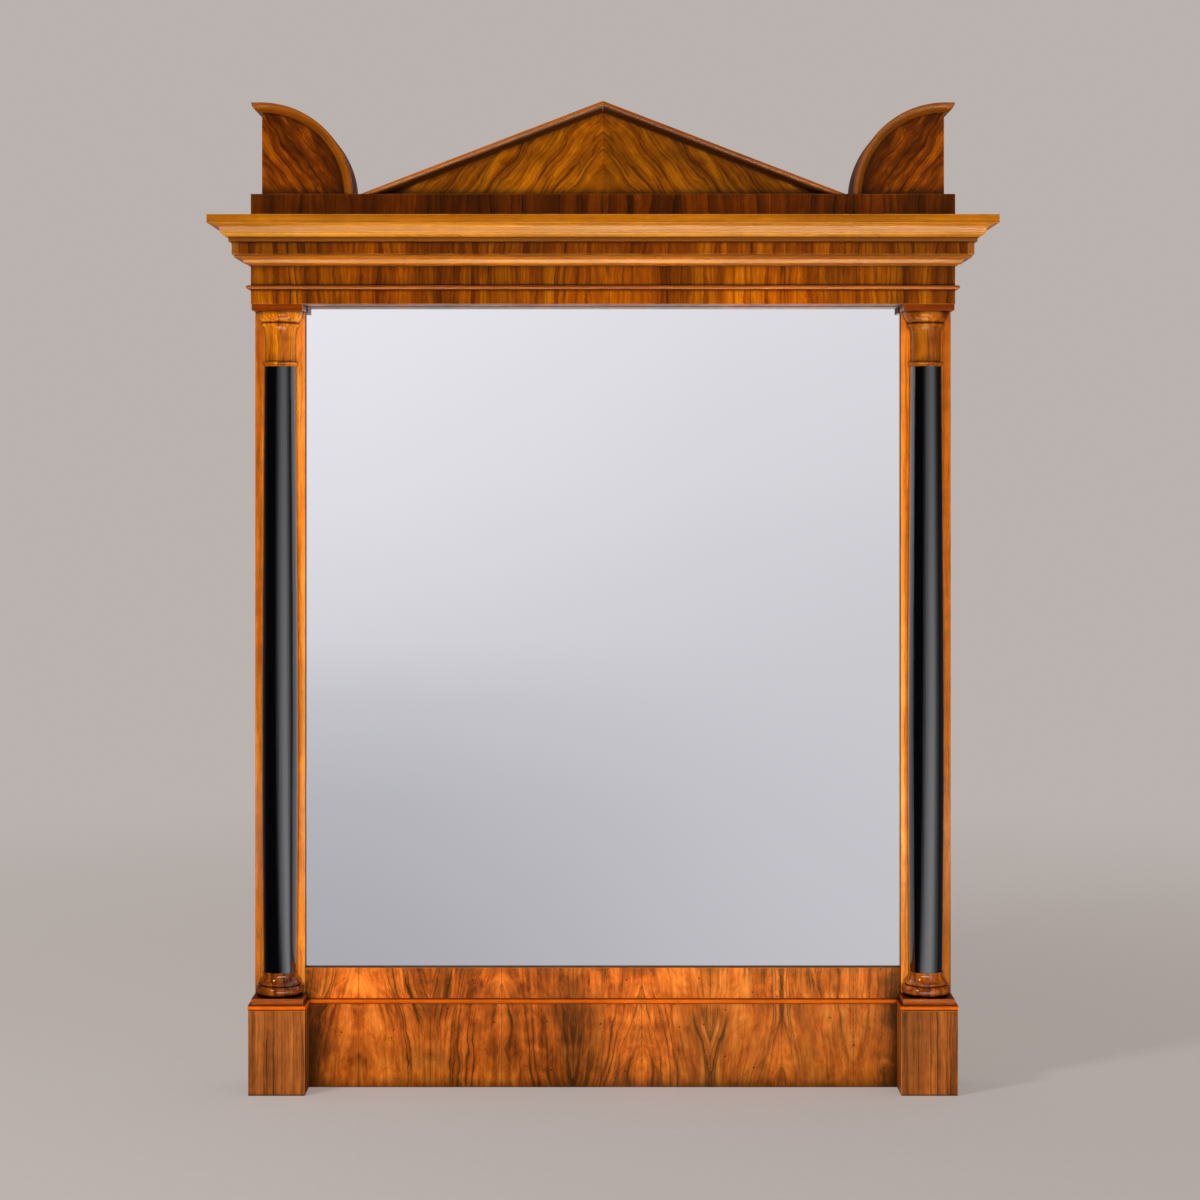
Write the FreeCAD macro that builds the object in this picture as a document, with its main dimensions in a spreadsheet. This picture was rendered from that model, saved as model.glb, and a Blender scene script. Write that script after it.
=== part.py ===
import FreeCAD, Part
import math
import os
from types import SimpleNamespace

import Sketcher

# A wall mirror with two columns, an entablature and a low pediment.
# Origin: bottom centre of the frame, on the wall plane. The front faces -Y, the wall is the plane Y = 0.
# The right hand side is modelled, and the left hand side is its mirror image.

BOARD_COUNT = 3
PLATE_BLOCK_ROWS = 3
FRIEZE_BLOCK_COUNT = 5
PEDIMENT_BLOCK_COUNT = 3

DRIVING = (
    # the frame
    ("frame_width", 850.0, "outer width across both stiles"),
    ("stile_width", 61.0, "width of one stile"),
    ("carcass_depth", 43.0, "wall plane to the face of the stiles"),
    ("veneer_thickness", 1.5, "sawn veneer on stiles, base board and attic"),
    ("base_height", 146.0, "height of the base board"),
    ("sight_height", 808.2, "height of the visible mirror"),
    # rebates, plate and back boards
    ("sight_lip", 8.0, "wood in front of the plate"),
    ("plate_thickness", 4.0, "mirror plate"),
    ("plate_cover", 8.0, "how far the plate reaches behind the frame"),
    ("plate_clearance", 1.0, "play around the plate"),
    ("board_setback", 20.0, "wall plane to the front of the back boards"),
    ("board_thickness", 8.0, "back board"),
    ("board_cover", 20.0, "how far the back boards reach behind the frame"),
    ("board_clearance", 1.0, "play around and between the back boards"),
    ("top_rail_setback", 12.0, "wall plane to the back of the top rail"),
    ("block_length", 36.0, "block that holds the plate"),
    ("block_reach", 7.0, "how far a block reaches over the plate"),
    ("nail_inset", 15.0, "back board nail beyond the visible mirror"),
    ("nail_edge", 28.0, "back board nail from the side of its board"),
    ("nail_length", 18.0, "nail under its head"),
    ("nail_radius", 1.0, "nail shank"),
    ("nail_head_radius", 2.6, "nail head"),
    ("nail_head_height", 0.9, "nail head"),
    # frame joints
    ("tenon_thickness", 12.0, "rail tenon"),
    ("tenon_length", 40.0, "rail tenon"),
    ("tenon_setback", 8.0, "stile face to the tenon"),
    ("bottom_tenon_low", 22.0, "foot of the frame to the lower tenon"),
    ("bottom_tenon_drop", 11.0, "back board rebate to the lower tenon"),
    ("top_tenon_height", 50.0, "upper tenon"),
    ("top_tenon_drop", 10.0, "top of the rail to the upper tenon"),
    ("mortise_clearance", 1.0, "room past the end of a tenon"),
    # plinths and columns
    ("axis_inset", 31.6, "side of the frame to the column axis"),
    ("axis_offset", 8.5, "face of the stile to the column axis"),
    ("plinth_width", 68.3, "plinth"),
    ("plinth_depth", 45.0, "plinth in front of the stile"),
    ("plinth_height", 102.5, "plinth"),
    ("cap_height", 5.8, "cap on the plinth, and bead on the base board"),
    ("cap_overhang", 0.7, "cap beyond the plinth"),
    ("base_bead_projection", 2.9, "bead in front of the base board"),
    ("bead_gap", 0.2, "end of the base bead to the cap"),
    ("foot_plate_width", 62.6, "square plate under the column"),
    ("foot_plate_depth", 39.8, "square plate under the column"),
    ("foot_plate_height", 7.3, "square plate under the column"),
    ("torus_radius", 29.5, "lower roll of the column base"),
    ("torus_height", 12.9, "lower roll of the column base"),
    ("base_groove_radius", 24.4, "groove over the roll"),
    ("base_groove_height", 1.3, "groove over the roll"),
    ("base_lip_radius", 25.9, "lip of the hollow"),
    ("base_lip_height", 2.0, "lip of the hollow"),
    ("base_neck_radius", 20.2, "top of the hollow"),
    ("base_hollow_height", 9.5, "hollow"),
    ("base_ring_radius", 20.9, "ring at the foot of the shaft"),
    ("base_ring_height", 2.4, "ring at the foot of the shaft"),
    ("base_step_height", 0.6, "step under the ring"),
    ("shaft_foot_radius", 19.7, "shaft at its foot"),
    ("shaft_head_radius", 18.6, "shaft at its head"),
    ("pin_radius", 6.0, "round tenon of the shaft"),
    ("pin_length", 15.0, "round tenon of the shaft"),
    ("pin_clearance", 0.05, "round tenon in its hole"),
    ("pin_relief", 1.0, "room past the end of the round tenon"),
    ("collar_radius", 19.9, "fillet at the foot of the capital"),
    ("collar_height", 1.9, "fillet at the foot of the capital"),
    ("astragal_radius", 21.8, "roll at the foot of the capital"),
    ("astragal_height", 3.6, "roll at the foot of the capital"),
    ("bell_foot_radius", 18.1, "body of the capital at its foot"),
    ("bell_waist_radius", 18.6, "body of the capital where it starts to flare"),
    ("bell_head_radius", 20.6, "body of the capital at its head"),
    ("bell_straight_height", 26.0, "straight part of the body"),
    ("bell_flare_height", 16.9, "flared part of the body"),
    ("neck_radius", 22.9, "roll under the bowl of the capital"),
    ("neck_height", 4.4, "roll under the bowl of the capital"),
    ("neck_groove_radius", 20.6, "groove over that roll"),
    ("neck_groove_height", 0.9, "groove over that roll"),
    ("bowl_foot_radius", 21.6, "bowl of the capital at its foot"),
    ("bowl_head_radius", 27.4, "bowl of the capital at its head"),
    ("bowl_curve_height", 11.6, "curved part of the bowl"),
    ("bowl_rim_height", 1.5, "straight rim of the bowl"),
    ("abacus_width", 61.7, "square plate on the capital"),
    ("abacus_depth", 39.7, "square plate on the capital"),
    ("abacus_height", 7.4, "square plate on the capital"),
    # entablature
    ("frieze_projection", 40.3, "face of the frieze in front of the stiles"),
    ("architrave_height", 17.7, "architrave plank"),
    ("bead_height", 4.8, "bead over the architrave"),
    ("bead_projection", 5.1, "bead over the architrave"),
    ("frieze_height", 23.5, "visible frieze"),
    ("frieze_thickness", 18.0, "frieze board"),
    ("bed_foot_projection", 1.6, "foot of the bed moulding"),
    ("bed_foot_height", 1.5, "foot of the bed moulding"),
    ("bed_curve_projection", 14.6, "head of the bed moulding's curve"),
    ("bed_curve_height", 7.5, "curve of the bed moulding"),
    ("bed_fillet_projection", 17.8, "fillet of the bed moulding"),
    ("bed_fillet_height", 3.3, "fillet of the bed moulding"),
    ("fascia_projection", 20.3, "fascia"),
    ("fascia_height", 15.3, "fascia"),
    ("side_board_thickness", 7.5, "side board of the fascia"),
    ("crown_fillet_projection", 23.6, "fillet of the crown moulding"),
    ("crown_fillet_height", 5.4, "fillet of the crown moulding"),
    ("crown_foot_projection", 24.6, "foot of the crown's curve"),
    ("crown_head_projection", 41.3, "head of the crown's curve"),
    ("crown_curve_height", 14.7, "curve of the crown moulding"),
    ("cornice_projection", 46.5, "cornice board"),
    ("cornice_height", 10.2, "cornice board"),
    # attic, pediment and corner blocks
    ("attic_height", 29.2, "attic block"),
    ("crest_projection", 11.5, "raking and curved mouldings in front of their boards"),
    ("crest_height", 11.0, "raking and curved mouldings"),
    ("pediment_gap", 10.2, "foot of the pediment to the corner block"),
    ("pediment_height", 112.3, "pediment"),
    ("pediment_thickness", 24.0, "pediment board"),
    ("pediment_block_size", 26.0, "glue block behind the pediment"),
    ("pediment_block_length", 70.0, "glue block behind the pediment"),
    ("acroterion_inset", 12.0, "side of the frame to the side of a corner block"),
    ("acroterion_radius", 110.3, "quarter round of a corner block"),
    ("frieze_block_length", 46.0, "glue block behind the frieze"),
    ("frieze_block_height", 40.0, "glue block behind the frieze"),
    # hangers
    ("hanger_inset", 34.0, "stile to the middle of a hanger"),
    ("hanger_drop", 28.0, "top of the rail to the ring's pivot"),
    ("strap_width", 14.0, "strap of a hanger"),
    ("strap_length", 40.0, "strap below the pivot"),
    ("strap_thickness", 1.2, "strap of a hanger"),
    ("wire_radius", 1.5, "ring wire"),
    ("eye_clearance", 0.1, "ring wire in the eye of the strap"),
    ("ring_half_width", 12.0, "ring, middle to wire"),
    ("ring_elbow_radius", 4.0, "lower corners of the ring"),
    ("ring_leg_height", 8.0, "pivot to the round part of the ring"),
    ("screw_radius", 1.75, "hanger screw"),
    ("screw_length", 14.0, "hanger screw under its head"),
    ("screw_head_radius", 3.4, "hanger screw"),
    ("screw_head_height", 1.4, "hanger screw"),
    ("screw_hole_clearance", 0.2, "hanger screw in the strap"),
    ("first_screw_drop", 12.0, "pivot to the upper screw"),
    ("second_screw_drop", 32.0, "pivot to the lower screw"),
    # the tools' overrun past what they cut
    ("overrun", 5.0, "how far a cut runs past its piece"),
)

# Seams between the veneer leaves of the base board, as shares of half the width between the stiles
SEAM_SHARES = (-0.82, -0.58, -0.34, -0.10, 0.13, 0.36, 0.60, 0.84)

QUARTER_SHARE = 0.7072  # radius of a quarter circle as a share of its chord
HOLLOW_SHARE = 0.95  # the same for the gentler hollow of the column base
FLARE_SHARE = 2.4  # the same for the flare of the capital
BOWL_SHARE = 1.12  # the same for the bowl of the capital
CYMA_SHARE = 0.80  # the same for each half of an S curve


class Size:
    """A length: the expression that binds it to the sheet, and its present value."""

    def __init__(self, text, value):
        self.text = text
        self.value = value

    def __add__(self, other):
        other = as_size(other)
        return Size("(%s + %s)" % (self.text, other.text), self.value + other.value)

    def __sub__(self, other):
        other = as_size(other)
        return Size("(%s - %s)" % (self.text, other.text), self.value - other.value)

    def __mul__(self, factor):
        factor = as_size(factor)
        return Size("(%s * %s)" % (self.text, factor.text), self.value * factor.value)

    def __truediv__(self, divisor):
        divisor = as_size(divisor)
        return Size("(%s / %s)" % (self.text, divisor.text), self.value / divisor.value)

    def __neg__(self):
        return Size("(-1 * %s)" % self.text, -self.value)


def as_size(number):
    """Numbers that join a sum or product as they are."""
    return number if isinstance(number, Size) else Size(repr(float(number)), float(number))


def distance(across, along):
    """Length of the slant between two points."""
    text = "sqrt(%s * %s + %s * %s)" % (across.text, across.text, along.text, along.text)
    return Size(text, math.hypot(across.value, along.value))


ZERO = as_size(0)
X_AXIS = FreeCAD.Vector(1, 0, 0)
Y_AXIS = FreeCAD.Vector(0, 1, 0)
Z_AXIS = FreeCAD.Vector(0, 0, 1)

doc = FreeCAD.newDocument("wall_mirror")
kept = []


def fill_sheet():
    """Writes the driving dimensions and returns them by name."""
    sheet = doc.addObject("Spreadsheet::Sheet", "Sizes")
    named = {}
    for row, (name, value, note) in enumerate(DRIVING, 1):
        sheet.set("A%d" % row, name)
        sheet.set("B%d" % row, str(value))
        sheet.set("C%d" % row, note)
        sheet.setAlias("B%d" % row, name)
        named[name] = Size("Sizes.%s" % name, value)
    doc.recompute()
    return SimpleNamespace(**named)


s = fill_sheet()

# Levels from the foot of the frame upwards
cap_level = s.plinth_height
foot_plate_level = cap_level + s.cap_height
base_level = foot_plate_level + s.foot_plate_height
base_turning = (
    s.torus_height + s.base_groove_height + s.base_lip_height
    + s.base_hollow_height + s.base_step_height + s.base_ring_height
)
shaft_level = base_level + base_turning
sight_top = s.base_height + s.sight_height
abacus_level = sight_top - s.abacus_height
capital_turning = (
    s.collar_height + s.astragal_height + s.bell_straight_height + s.bell_flare_height
    + s.neck_height + s.neck_groove_height + s.bowl_curve_height + s.bowl_rim_height
)
capital_level = abacus_level - capital_turning
shaft_length = capital_level - shaft_level
architrave_top = sight_top + s.architrave_height
frieze_foot = architrave_top + s.bead_height
bed_level = frieze_foot + s.frieze_height
bed_height = s.bed_foot_height + s.bed_curve_height + s.bed_fillet_height
fascia_level = bed_level + bed_height
crown_level = fascia_level + s.fascia_height
crown_height = s.crown_fillet_height + s.crown_curve_height
cornice_level = crown_level + crown_height
attic_level = cornice_level + s.cornice_height
crest_level = attic_level + s.attic_height

# Places across and in depth
frame_side = s.frame_width / 2
sight_side = frame_side - s.stile_width
axis_x = frame_side - s.axis_inset
frieze_depth = s.carcass_depth + s.frieze_projection
board_depth = frieze_depth - s.crest_projection
core_depth = s.carcass_depth - s.veneer_thickness
plate_front = s.carcass_depth - s.sight_lip
plate_back = plate_front - s.plate_thickness
plate_rebate = s.plate_cover + s.plate_clearance
board_rebate = s.board_cover + s.board_clearance
rail_block_depth = frieze_depth - s.frieze_thickness
eye_outer = s.wire_radius + s.eye_clearance + s.strap_thickness
acroterion_side = frame_side - s.acroterion_inset
pediment_half = acroterion_side - s.acroterion_radius - s.pediment_gap
hanger_x = sight_side - s.hanger_inset
pivot_level = cornice_level - s.hanger_drop
pivot_depth = s.top_rail_setback - eye_outer


def place(piece, x, y, z):
    """Binds the position of a piece."""
    piece.setExpression("Placement.Base.x", x.text)
    piece.setExpression("Placement.Base.y", y.text)
    piece.setExpression("Placement.Base.z", z.text)
    return piece


def keep(piece, label):
    """Marks a finished piece, which is written to a file under its label."""
    piece.Label = label
    kept.append(piece)
    return piece


def mirrored(source, label):
    """The left hand twin of a right hand piece."""
    twin = doc.addObject("Part::Mirroring", "Twin")
    twin.Source = source
    twin.Normal = X_AXIS
    return keep(twin, label)


def pair(piece, name):
    """Keeps a right hand piece and its left hand twin."""
    keep(piece, name + "_right")
    mirrored(piece, name + "_left")
    return piece


def block(x, depth, z):
    """A box between two places across, two depths in front of the wall and two levels."""
    box = doc.addObject("Part::Box", "Block")
    box.setExpression("Length", (x[1] - x[0]).text)
    box.setExpression("Width", (depth[1] - depth[0]).text)
    box.setExpression("Height", (z[1] - z[0]).text)
    return place(box, x[0], -depth[1], z[0])


def rod(x, back, z, length, radius):
    """A round bar that runs from its back end straight to the front."""
    bar = doc.addObject("Part::Cylinder", "Rod")
    bar.Placement.Rotation = FreeCAD.Rotation(X_AXIS, 90)
    bar.setExpression("Radius", radius.text)
    bar.setExpression("Height", length.text)
    return place(bar, x, -back, z)


def joined(pieces):
    """Several overlapping or touching solids as one."""
    union = doc.addObject("Part::MultiFuse", "Union")
    union.Shapes = pieces
    return union


def group(pieces):
    """Several separate solids side by side."""
    several = doc.addObject("Part::Compound", "Group")
    several.Links = pieces
    return several


def cut(piece, tools):
    """A piece less its tools."""
    less = doc.addObject("Part::Cut", "Cut")
    less.Base = piece
    less.Tool = tools[0] if len(tools) == 1 else joined(tools)
    return less


def common(piece, region):
    """The part of a piece inside a region."""
    inside = doc.addObject("Part::Common", "Inside")
    inside.Base = piece
    inside.Tool = region
    return inside


def new_body(name):
    return doc.addObject("PartDesign::Body", name)


def origin_plane(body, role):
    return [feature for feature in body.Origin.OriginFeatures if feature.Role == role][0]


def arc_between(start, end, radius, turn):
    """An arc that leaves its chord on the right for a turn of 1, and on the left for -1."""
    chord = end - start
    half = chord.Length / 2
    side = Z_AXIS.cross(chord).normalize() * turn
    centre = start + chord / 2 + side * math.sqrt(radius * radius - half * half)
    circle = Part.Circle(centre, Z_AXIS, radius)
    angles = [math.atan2(point.y - centre.y, point.x - centre.x) for point in (start, end)]
    if turn < 0:
        angles.reverse()
    return Part.ArcOfCircle(circle, angles[0], angles[1])


def outline(body, role, name, corners):
    """A closed outline. Each corner is (u, v), or (u, v, share, turn) where an arc runs on from it."""
    sketch = body.newObject("Sketcher::SketchObject", name)
    sketch.AttachmentSupport = [(origin_plane(body, role), "")]
    sketch.MapMode = "FlatFace"
    points = [FreeCAD.Vector(corner[0].value, corner[1].value, 0) for corner in corners]
    ends = []
    for index, corner in enumerate(corners):
        following = (index + 1) % len(corners)
        if len(corner) == 2:
            sketch.addGeometry(Part.LineSegment(points[index], points[following]))
            ends.append((1, 2))
            continue
        share, turn = corner[2:]
        after = corners[following]
        radius = distance(after[0] - corner[0], after[1] - corner[1]) * share
        sketch.addGeometry(arc_between(points[index], points[following], radius.value, turn))
        bend = sketch.addConstraint(Sketcher.Constraint("Radius", index, radius.value))
        sketch.setExpression("Constraints[%d]" % bend, radius.text)
        ends.append((1, 2) if turn > 0 else (2, 1))
    for index, corner in enumerate(corners):
        following = (index + 1) % len(corners)
        sketch.addConstraint(
            Sketcher.Constraint("Coincident", index, ends[index][1], following, ends[following][0])
        )
        for kind, size in (("DistanceX", corner[0]), ("DistanceY", corner[1])):
            pin = sketch.addConstraint(
                Sketcher.Constraint(kind, -1, 1, index, ends[index][0], size.value)
            )
            sketch.setExpression("Constraints[%d]" % pin, size.text)
    return sketch


def pad(body, sketch, length, both_ways=False):
    solid = body.newObject("PartDesign::Pad", "Pad")
    solid.Profile = sketch
    solid.Midplane = both_ways
    solid.setExpression("Length", length.text)
    return solid


def pocket_through(body, sketch):
    hole = body.newObject("PartDesign::Pocket", "Pocket")
    hole.Profile = sketch
    hole.Type = "ThroughAll"
    hole.Midplane = True
    return hole


def turned(name, corners, flat=None):
    """A piece turned about its own Z axis; with flat, its back is cut off that far behind the axis."""
    body = new_body(name)
    sketch = outline(body, "XZ_Plane", name + "_profile", corners)
    turning = body.newObject("PartDesign::Revolution", "Turning")
    turning.Profile = sketch
    turning.ReferenceAxis = (sketch, ["V_Axis"])
    turning.Angle = 360
    if flat is None:
        return body
    reach = s.torus_radius + s.bowl_head_radius
    back = outline(
        body, "XY_Plane", name + "_back",
        [(-reach, flat), (reach, flat), (reach, reach), (-reach, reach)],
    )
    pocket_through(body, back)
    return body


def on_axis(body, level):
    """Stands a turned piece on the column axis."""
    return place(body, axis_x, -(s.carcass_depth + s.axis_offset), level)


def stiles_and_rails():
    """Softwood carcass: rails with tenons, stiles with mortises, and the rebates for plate and boards."""
    rebate_low = s.base_height - plate_rebate
    rebate_high = sight_top + plate_rebate
    shoulder_low = s.base_height - board_rebate
    shoulder_high = sight_top + board_rebate
    tenon_depths = (core_depth - s.tenon_setback - s.tenon_thickness, core_depth - s.tenon_setback)
    bottom_tenon = (s.bottom_tenon_low, shoulder_low - s.bottom_tenon_drop)
    top_tenon_top = cornice_level - s.top_tenon_drop
    top_tenon = (top_tenon_top - s.top_tenon_height, top_tenon_top)
    tenon_end = sight_side + s.tenon_length
    mortise_x = (sight_side - s.overrun, tenon_end + s.mortise_clearance)

    stile = cut(
        block((sight_side, frame_side), (ZERO, core_depth), (ZERO, cornice_level)),
        [
            block((sight_side - s.overrun, sight_side + plate_rebate),
                  (s.board_setback - s.overrun, plate_front), (rebate_low, rebate_high)),
            block((sight_side - s.overrun, sight_side + board_rebate),
                  (-s.overrun, s.board_setback), (shoulder_low, shoulder_high)),
            block(mortise_x, tenon_depths, bottom_tenon),
            block(mortise_x, tenon_depths, top_tenon),
        ],
    )
    pair(stile, "stile")

    inside = (-sight_side, sight_side)
    past = (-(sight_side + s.overrun), sight_side + s.overrun)
    bottom_rail = cut(
        joined([
            block(inside, (ZERO, core_depth), (ZERO, s.base_height)),
            block((-tenon_end, tenon_end), tenon_depths, bottom_tenon),
        ]),
        [
            block(past, (s.board_setback - s.overrun, plate_front),
                  (rebate_low, s.base_height + s.overrun)),
            block(past, (-s.overrun, s.board_setback),
                  (shoulder_low, s.base_height + s.overrun)),
            *nail_holes(s.base_height - s.nail_inset),
        ],
    )
    keep(bottom_rail, "bottom_rail")

    top_rail = cut(
        joined([
            block(inside, (s.top_rail_setback, s.carcass_depth), (sight_top, cornice_level)),
            block((-tenon_end, tenon_end), tenon_depths, top_tenon),
        ]),
        [
            block(past, (s.board_setback - s.overrun, plate_front),
                  (sight_top - s.overrun, rebate_high)),
            block(past, (s.top_rail_setback - s.overrun, s.board_setback),
                  (sight_top - s.overrun, shoulder_high)),
            *nail_holes(sight_top + s.nail_inset),
            *[screw_shank(side, drop) for side, drop in screw_places()],
        ],
    )
    keep(top_rail, "top_rail")


def board_edges():
    """Left and right edge of each back board."""
    full = (sight_side + s.board_cover) * 2
    width = (full - s.board_clearance * (BOARD_COUNT - 1)) / BOARD_COUNT
    edges = []
    for index in range(BOARD_COUNT):
        left = -(sight_side + s.board_cover) + (width + s.board_clearance) * index
        edges.append((left, left + width))
    return edges


def nail_places():
    """The two nail positions across each back board."""
    return [x for left, right in board_edges() for x in (left + s.nail_edge, right - s.nail_edge)]


def nail_back():
    return s.board_setback - s.board_thickness


def nail_holes(level):
    return [rod(x, nail_back() - s.overrun, level, s.nail_length + s.overrun, s.nail_radius)
            for x in nail_places()]


def plate_and_boards():
    """The mirror plate, the blocks that hold it, and the boards nailed over it."""
    plate_side = sight_side + s.plate_cover
    plate_low = s.base_height - s.plate_cover
    plate_high = sight_top + s.plate_cover
    keep(block((-plate_side, plate_side), (plate_back, plate_front), (plate_low, plate_high)),
         "mirror_plate")

    outer = sight_side + plate_rebate
    inner = plate_side - s.block_reach
    depths = (s.board_setback, plate_back)
    half = s.block_length / 2
    blocks = []
    for row in range(PLATE_BLOCK_ROWS):
        middle = s.base_height + s.sight_height * (row * 2 + 1) / (PLATE_BLOCK_ROWS * 2)
        for x in ((inner, outer), (-outer, -inner)):
            blocks.append(block(x, depths, (middle - half, middle + half)))
    low = s.base_height - plate_rebate
    high = sight_top + plate_rebate
    reach = plate_side - s.block_reach - sight_side
    for side in (-1, 1):
        middle = sight_side * side / 2
        x = (middle - half, middle + half)
        blocks.append(block(x, depths, (low, s.base_height - reach)))
        blocks.append(block(x, depths, (sight_top + reach, high)))
    keep(group(blocks), "plate_blocks")

    levels = (s.base_height - s.board_cover, sight_top + s.board_cover)
    nail_levels = (s.base_height - s.nail_inset, sight_top + s.nail_inset)
    names = ("back_board_left", "back_board_middle", "back_board_right")
    for name, (left, right) in zip(names, board_edges()):
        board = block((left, right), (nail_back(), s.board_setback), levels)
        holes = [rod(x, nail_back() - s.overrun, level, s.nail_length + s.overrun, s.nail_radius)
                 for x in (left + s.nail_edge, right - s.nail_edge) for level in nail_levels]
        keep(cut(board, holes), name)
    nails = []
    for x in nail_places():
        for level in nail_levels:
            shank = rod(x, nail_back(), level, s.nail_length, s.nail_radius)
            head = rod(x, nail_back() - s.nail_head_height, level, s.nail_head_height,
                       s.nail_head_radius)
            nails.append(joined([shank, head]))
    keep(group(nails), "back_board_nails")


def facings():
    """Veneer on the stiles and base board, and the bead across the base board."""
    face = (core_depth, s.carcass_depth)
    pair(block((sight_side, frame_side), face, (ZERO, cornice_level)), "stile_veneer")
    seams = [-sight_side, *[sight_side * share for share in SEAM_SHARES], sight_side]
    leaves = [block(x, face, levels)
              for levels in ((ZERO, cap_level), (foot_plate_level, s.base_height))
              for x in zip(seams, seams[1:])]
    keep(group(leaves), "base_veneer")

    bead = new_body("base_bead_body")
    half = s.cap_height / 2
    nose = s.veneer_thickness + s.base_bead_projection
    sketch = outline(bead, "YZ_Plane", "base_bead_profile", [
        (ZERO, ZERO),
        (-s.veneer_thickness, ZERO, QUARTER_SHARE, -1),
        (-nose, half, QUARTER_SHARE, -1),
        (-s.veneer_thickness, s.cap_height),
        (ZERO, s.cap_height),
    ])
    reach = axis_x - s.plinth_width / 2 - s.cap_overhang - s.bead_gap
    pad(bead, sketch, reach * 2, both_ways=True)
    keep(place(bead, ZERO, -core_depth, cap_level), "base_bead")


def columns():
    """Plinths, caps, plates, turned bases, shafts and capitals."""
    half = s.plinth_width / 2
    front = s.carcass_depth + s.plinth_depth
    pair(block((axis_x - half, axis_x + half), (s.carcass_depth, front), (ZERO, cap_level)),
         "plinth")

    wide = half + s.cap_overhang
    cap = new_body("cap_body")
    nose = s.cap_height / 2
    front_cap = s.plinth_depth + s.cap_overhang
    sketch = outline(cap, "YZ_Plane", "cap_profile", [
        (ZERO, ZERO),
        (nose - front_cap, ZERO, QUARTER_SHARE, -1),
        (-front_cap, nose, QUARTER_SHARE, -1),
        (nose - front_cap, s.cap_height),
        (ZERO, s.cap_height),
    ])
    pad(cap, sketch, wide * 2, both_ways=True)
    pair(place(cap, axis_x, -s.carcass_depth, cap_level), "plinth_cap")

    half = s.foot_plate_width / 2
    pair(block((axis_x - half, axis_x + half),
               (s.carcass_depth, s.carcass_depth + s.foot_plate_depth),
               (foot_plate_level, base_level)), "foot_plate")

    pair(on_axis(turned("column_base_body", base_outline(), s.axis_offset), base_level),
         "column_base")
    pair(on_axis(turned("shaft_body", shaft_outline(), s.axis_offset), shaft_level - s.pin_length),
         "column_shaft")
    pair(on_axis(turned("capital_body", capital_outline(), s.axis_offset), capital_level),
         "capital")

    half = s.abacus_width / 2
    pair(block((axis_x - half, axis_x + half),
               (s.carcass_depth, s.carcass_depth + s.abacus_depth),
               (abacus_level, sight_top)), "abacus")


def base_outline():
    half = s.torus_height / 2
    groove = s.torus_height + s.base_groove_height
    lip = groove + s.base_lip_height
    hollow = lip + s.base_hollow_height
    step = hollow + s.base_step_height
    hole = s.pin_radius + s.pin_clearance
    floor = base_turning - s.pin_length - s.pin_relief
    return [
        (ZERO, ZERO),
        (s.torus_radius - half, ZERO, QUARTER_SHARE, 1),
        (s.torus_radius, half, QUARTER_SHARE, 1),
        (s.torus_radius - half, s.torus_height),
        (s.base_groove_radius, s.torus_height),
        (s.base_groove_radius, groove),
        (s.base_lip_radius, groove),
        (s.base_lip_radius, lip, HOLLOW_SHARE, -1),
        (s.base_neck_radius, hollow),
        (s.base_neck_radius, step),
        (s.base_ring_radius, step),
        (s.base_ring_radius, base_turning),
        (hole, base_turning),
        (hole, floor),
        (ZERO, floor),
    ]


def shaft_outline():
    head = s.pin_length + shaft_length
    return [
        (ZERO, ZERO),
        (s.pin_radius, ZERO),
        (s.pin_radius, s.pin_length),
        (s.shaft_foot_radius, s.pin_length),
        (s.shaft_head_radius, head),
        (s.pin_radius, head),
        (s.pin_radius, head + s.pin_length),
        (ZERO, head + s.pin_length),
    ]


def capital_outline():
    astragal_half = s.astragal_height / 2
    astragal_top = s.collar_height + s.astragal_height
    waist = astragal_top + s.bell_straight_height
    neck = waist + s.bell_flare_height
    neck_half = s.neck_height / 2
    neck_top = neck + s.neck_height
    groove = neck_top + s.neck_groove_height
    rim = groove + s.bowl_curve_height
    hole = s.pin_radius + s.pin_clearance
    floor = s.pin_length + s.pin_relief
    return [
        (hole, ZERO),
        (s.collar_radius, ZERO),
        (s.collar_radius, s.collar_height, QUARTER_SHARE, 1),
        (s.astragal_radius, s.collar_height + astragal_half, QUARTER_SHARE, 1),
        (s.collar_radius, astragal_top),
        (s.bell_foot_radius, astragal_top),
        (s.bell_waist_radius, waist, FLARE_SHARE, -1),
        (s.bell_head_radius, neck, QUARTER_SHARE, 1),
        (s.neck_radius, neck + neck_half, QUARTER_SHARE, 1),
        (s.neck_groove_radius, neck_top),
        (s.neck_groove_radius, groove),
        (s.bowl_foot_radius, groove, BOWL_SHARE, 1),
        (s.bowl_head_radius, rim),
        (s.bowl_head_radius, capital_turning),
        (ZERO, capital_turning),
        (ZERO, floor),
        (hole, floor),
    ]


def front_run(name, corners, level, projection):
    """A moulding along the front, mitred at both ends. Corners are (projection, level) places."""
    body = new_body(name)
    profile = [(-corner[0], corner[1], *bend_of(corner, -1)) for corner in corners]
    pad(body, outline(body, "YZ_Plane", name + "_profile", profile),
        (frame_side + projection) * 2, both_ways=True)
    reach = frame_side + projection + s.overrun
    beyond = projection + s.overrun
    for side, word in ((1, "right"), (-1, "left")):
        mitre = outline(body, "XY_Plane", name + "_mitre_" + word, [
            ((frame_side - s.overrun) * side, s.overrun),
            (reach * side, s.overrun),
            (reach * side, -beyond),
        ])
        pocket_through(body, mitre)
    return place(body, ZERO, -frieze_depth, level)


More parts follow.
